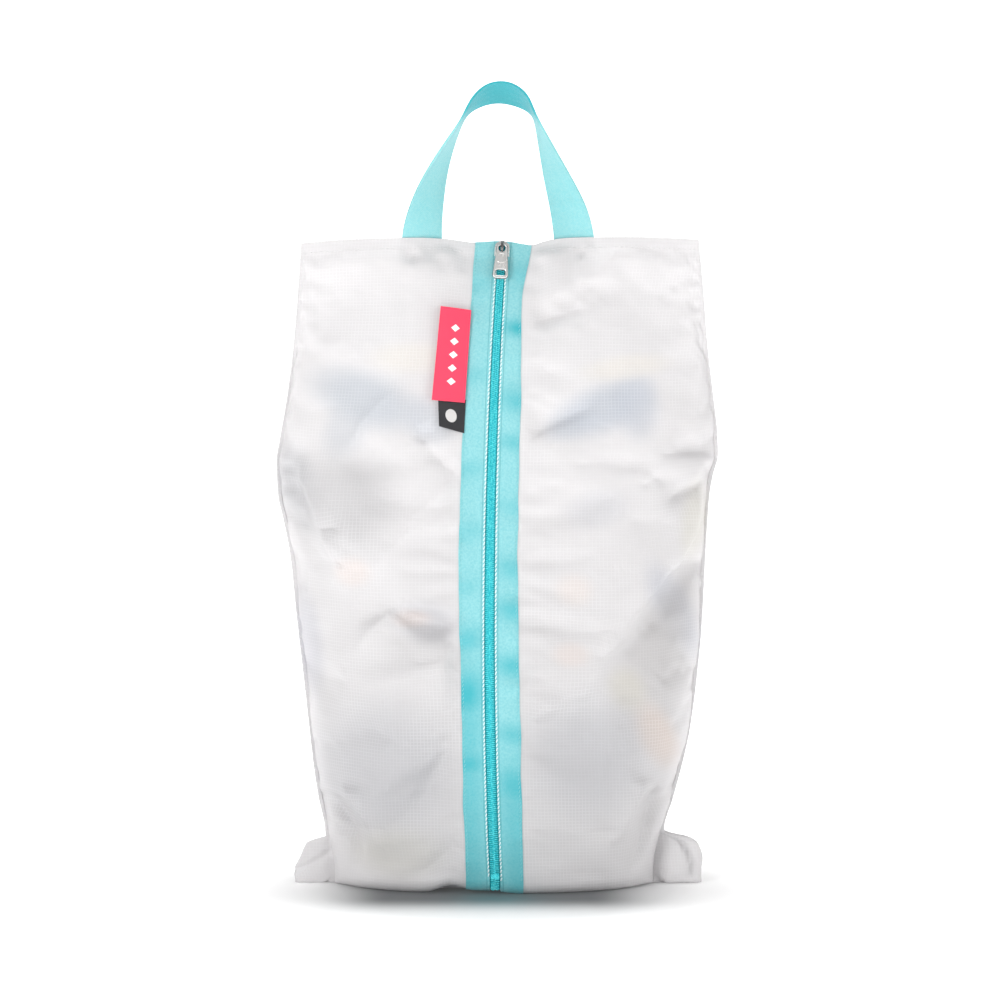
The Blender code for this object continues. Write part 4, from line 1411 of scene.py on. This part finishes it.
# ---------------------------------------------------------------- handle
# the webbing's two edges from the left end to the right: x and height above the top seam of the front edge,
# then of the rear edge, and how far they stand before and behind the seam
HANDLE_EDGES = [
    (-0.0589, -0.0070, -0.0343, -0.0070, 0.0000), (-0.0589, 0.0003, -0.0343, 0.0003, 0.0000),
    (-0.0574, 0.0087, -0.0344, 0.0101, 0.0030), (-0.0537, 0.0201, -0.0337, 0.0211, 0.0060),
    (-0.0481, 0.0328, -0.0325, 0.0333, 0.0085), (-0.0404, 0.0456, -0.0301, 0.0461, 0.0100),
    (-0.0331, 0.0565, -0.0270, 0.0566, 0.0115), (-0.0262, 0.0660, -0.0241, 0.0650, 0.0120),
    (-0.0216, 0.0730, -0.0213, 0.0716, 0.0120), (-0.0183, 0.0803, -0.0184, 0.0757, 0.0120),
    (-0.0146, 0.0866, -0.0144, 0.0784, 0.0115), (-0.0091, 0.0917, -0.0092, 0.0808, 0.0110),
    (-0.0037, 0.0941, -0.0037, 0.0821, 0.0107), (0.0018, 0.0948, 0.0018, 0.0824, 0.0106),
    (0.0073, 0.0941, 0.0079, 0.0814, 0.0107), (0.0130, 0.0913, 0.0141, 0.0794, 0.0112),
    (0.0176, 0.0868, 0.0186, 0.0770, 0.0117), (0.0203, 0.0812, 0.0214, 0.0743, 0.0120),
    (0.0228, 0.0745, 0.0230, 0.0700, 0.0120), (0.0277, 0.0657, 0.0243, 0.0621, 0.0117),
    (0.0351, 0.0528, 0.0261, 0.0510, 0.0110), (0.0425, 0.0401, 0.0279, 0.0387, 0.0095),
    (0.0499, 0.0272, 0.0303, 0.0266, 0.0072), (0.0555, 0.0151, 0.0324, 0.0153, 0.0040),
    (0.0590, 0.0012, 0.0342, 0.0012, 0.0000), (0.0592, -0.0070, 0.0344, -0.0070, 0.0000),
]
EDGE_STEPS = 12
SMOOTHINGS = 60
HANDLE_THICK = 0.0013
WEB_SHARES = [0.0, 0.03, 0.10, 0.22, 0.36, 0.50, 0.64, 0.78, 0.90, 0.97, 1.0]
CROWN = (0.066, 0.080)     # heights above the seam between which the inner face comes to the front and is given painted shade


def handle_edge(x, height, y):
    """A smooth line through the places that an edge of the webbing passes."""
    fine = np.linspace(0, len(x) - 1, EDGE_STEPS * (len(x) - 1) + 1)
    line = read(fine, np.arange(len(x)), np.stack([x, y, height], axis=-1))
    for _ in range(SMOOTHINGS):
        line[1:-1] = 0.25 * line[:-2] + 0.5 * line[1:-1] + 0.25 * line[2:]
    line[:, 2] += TOP
    return line


def make_handle(material):
    """One strap whose ends stand in the top seam. It twists, so that its crown shows the inner face."""
    front_x, front_height, rear_x, rear_height, off = np.array(HANDLE_EDGES).T
    front, rear = handle_edge(front_x, front_height, -off), handle_edge(rear_x, rear_height, off)
    grid = np.stack([front * (1 - s) + rear * s for s in WEB_SHARES], axis=1)
    made = sheet("handle_loop", grid, grid_normals(grid), weave_coordinates(grid, 0), HANDLE_THICK, material)
    # painted shade on the crown's inner face
    paint(made, "crown", ease(TOP + CROWN[0], TOP + CROWN[1], grid[..., 2]))
    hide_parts("handle_webbing", "handle_end_left", "handle_end_right")
    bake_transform(made)


# ---------------------------------------------------------------- labels
LABEL_THICK = 0.00055
LABEL_LIFT = 0.0003
LABEL_ROWS, LABEL_COLUMNS = 25, 15
# each label's bow, and its corners: top left, top right, bottom left, bottom right, as x and z
LABELS = {
    "red": (0.0012, [(-0.0348, 0.3587), (-0.0163, 0.3566), (-0.0400, 0.3030), (-0.0200, 0.3015)]),
    "black": (0.0008, [(-0.0362, 0.3045), (-0.0194, 0.3031), (-0.0356, 0.2874), (-0.0205, 0.2833)]),
}


def make_label(colour, material):
    """A woven label sewn in at its right edge."""
    bow, corners = LABELS[colour]
    joint = next(j for j in frame["joints"] if j["child"] == f"{colour}_tab")
    upward = Vector(joint["axis"]).normalized()
    origin = Vector(joint["pos_m"])
    across = (Vector((1.0, 0.0, 0.0)) - upward * upward.x).normalized()
    out = np.array(across.cross(upward).normalized())
    top_left, top_right, bottom_left, bottom_right = np.array(corners)
    down, right = np.meshgrid(np.linspace(0, 1, LABEL_ROWS), np.linspace(0, 1, LABEL_COLUMNS), indexing="ij")
    down, right = down[..., None], right[..., None]
    flat = (top_left * (1 - right) + top_right * right) * (1 - down)
    flat = flat + (bottom_left * (1 - right) + bottom_right * right) * down
    x, z = flat[..., 0], flat[..., 1]
    y = origin.y - ((x - origin.x) * out[0] + (z - origin.z) * out[2]) / out[1]
    wide, tall = np.linalg.norm(top_right - top_left), np.linalg.norm(bottom_left - top_left)
    lift = bow * np.sin(math.pi * 0.55 * (1 - right)) * (0.65 + 0.35 * np.cos(5.0 * down)) + LABEL_LIFT
    grid = np.stack([x, y, z], axis=-1) + out * lift
    uv = np.concatenate([wide * right, tall * down], axis=-1)
    made = sheet(f"{colour}_tab_cloth", grid, grid_normals(grid), uv, LABEL_THICK, material)
    declare(made, f"{colour}_label", f"{colour}_tab", f"label_{colour}")


# ---------------------------------------------------------------- stage
FLOOR_THICK = 0.02
FLOOR_FLAT = 5.2           # radius of the flat part
RIM = 0.8                  # radius of the curve at its rim
STAGE_HIGH = 1.6
FLAT_STEPS, RIM_STEPS = 14, 8
# the painted contact shadow's patch in x and in y: its middle, half size and soft edge
SHADOW = ((-0.005, 0.060, 0.032), (-0.004, 0.046, 0.028))
SHADOW_STRENGTH = 0.88
# reach of the painted aqua reflection under the ribbons
AQUA_REACH = 0.024


def squared(number):
    return number * number


def contact_shade(m, position):
    """How much darker the floor is painted close to the bag, as a painted contact shadow, and its colour
    there: aqua under the ribbons, a painted reflection of them.
    """
    place = m.parts(position)
    off = []
    for where, (middle, half, soft) in zip(place, SHADOW):
        off.append(m.maths("MAXIMUM", abs(where - middle) - half, 0.0) / soft)
    near = m.maths("EXPONENT", (squared(off[0]) + squared(off[1])) * -1.0)
    aqua = m.maths("EXPONENT", squared(place[0] / AQUA_REACH) * -1.0) * (place[1] < 0.0)
    return near * SHADOW_STRENGTH, m.mix(aqua, rgb(0.05, 0.06, 0.07), rgb(0.02, 0.13, 0.15))


def make_stage():
    """Pale round floor that curves up at its rim, with a painted contact shadow round the bag."""
    m = Nodes("studio_floor", Roughness=0.9, Emission_Color=rgb(1.0, 1.0, 1.0))
    position = m.place()
    away = m.add("ShaderNodeVectorMath", {"operation": "LENGTH"}, i0=position).outputs["Value"]
    m.feed(m.shader.inputs["Emission Strength"], m.ramp(away, (0.11, 0.04), (0.30, 0.70)))
    shade, dark = contact_shade(m, position)
    m.colour(m.mix(shade, rgb(0.94, 0.94, 0.94), dark))
    profile = [(0.002, 0.0)] + [(FLOOR_FLAT * (k / FLAT_STEPS) ** 1.5, 0.0) for k in range(1, FLAT_STEPS + 1)]
    for k in range(1, RIM_STEPS + 1):
        turn = math.radians(90 * k / RIM_STEPS)
        profile.append((FLOOR_FLAT + RIM * math.sin(turn), RIM - RIM * math.cos(turn)))
    profile.append((FLOOR_FLAT + RIM, STAGE_HIGH))
    turns = np.radians(np.linspace(0.0, 360.0, 97))
    grid = np.array([[(r * math.cos(turn), r * math.sin(turn), z) for turn in turns] for r, z in profile])
    made = sheet("studio", grid, grid_normals(grid), grid[..., :2], FLOOR_THICK, m.material)
    made.location.z = -FLOOR_THICK / 2


LIGHT_TARGET = (0.0, 0.0, 0.22)
# name, place, size and power of each light
LIGHTS = [
    ("key", (-1.6, -2.0, 1.2), (0.8, 0.8), 24.0),
    ("fill", (1.9, -1.8, 0.8), (1.2, 1.2), 12.0),
    ("top", (0.0, 0.25, 2.4), (1.2, 0.6), 32.0),
    ("back", (1.0, 1.9, 1.5), (1.0, 1.0), 2.5),
]


def make_lights():
    for name, place, size, power in LIGHTS:
        data = bpy.data.lights.new(name, "AREA")
        data.shape = "RECTANGLE"
        data.size, data.size_y = size
        data.energy = power
        light = bpy.data.objects.new(name, data)
        light.location = place
        light.rotation_euler = (Vector(LIGHT_TARGET) - Vector(place)).to_track_quat("-Z", "Y").to_euler()
        bpy.context.scene.collection.objects.link(light)
    world = bpy.data.worlds.new("studio")
    world.use_nodes = True
    background = world.node_tree.nodes["Background"]
    background.inputs["Color"].default_value = rgb(1.0, 1.0, 1.0)
    background.inputs["Strength"].default_value = 0.28
    bpy.context.scene.world = world
    bpy.context.scene.view_settings.view_transform = "Standard"


CAMERA_TARGET = Vector((0.0015, 0.0, 0.2385))
CAMERA_AWAY = 2.3
CAMERA_RISE = math.radians(5.5)
SEEN_WIDTH = 0.6165        # width of the picture at the target


def make_camera():
    """Eye-level product view from the front, from far off with a long lens."""
    data = bpy.data.cameras.new("camera")
    data.sensor_width = 36.0
    data.lens = data.sensor_width * CAMERA_AWAY / SEEN_WIDTH
    camera = bpy.data.objects.new("camera", data)
    towards = Vector((0.0, -math.cos(CAMERA_RISE), math.sin(CAMERA_RISE)))
    camera.location = CAMERA_TARGET + towards * CAMERA_AWAY
    camera.rotation_euler = (CAMERA_TARGET - camera.location).to_track_quat("-Z", "Y").to_euler()
    bpy.context.scene.collection.objects.link(camera)
    bpy.context.scene.camera = camera


def main():
    materials = {
        "ripstop": ripstop_material(),
        "ribbon": grosgrain_material(),
        "webbing": webbing_material(),
        "zip_tape": tape_material(),
        "zip_coil": coil_material(),
        "thread": thread_material("thread", (0.80, 0.95, 0.95)),
        "ribbon_thread": thread_material("ribbon_thread", (0.22, 0.62, 0.66)),
        "white_thread": thread_material("white_thread", (0.70, 0.69, 0.70)),
        "nickel": nickel_material("nickel", 1.0),
        # the darker copies of the nickel are painted shade
        "nickel_shade": nickel_material("nickel_shade", 0.20),
        "nickel_deep_shade": nickel_material("nickel_deep_shade", 0.07),
        "red_label": label_material("red_label", (0.93, 0.045, 0.11), (0.95, 0.93, 0.93), diamond_row),
        "black_label": label_material("black_label", (0.010, 0.010, 0.013), (0.62, 0.61, 0.60), plain_disc),
    }
    (front, front_weave), (back, back_weave) = bag_grids()
    make_cloth(front, back, front_weave, back_weave, materials["ripstop"])
    strip = Strip(front)
    ribbon_end = FINE * (MAIN_ROWS + EAR_ROWS + CORNER_ROWS) + 1
    make_ribbons(strip, middle_row(front), ribbon_end, materials)
    make_coils(strip, materials["zip_coil"])
    make_ribbon_stitches(strip, materials)
    make_seams(front, back, materials["white_thread"])
    make_slider(materials)
    make_puller(materials)
    make_handle(materials["webbing"])
    for colour in LABELS:
        make_label(colour, materials[f"{colour}_label"])
    make_bottom_stop(strip, materials["zip_coil"])
    make_stage()
    make_lights()
    make_camera()


main()
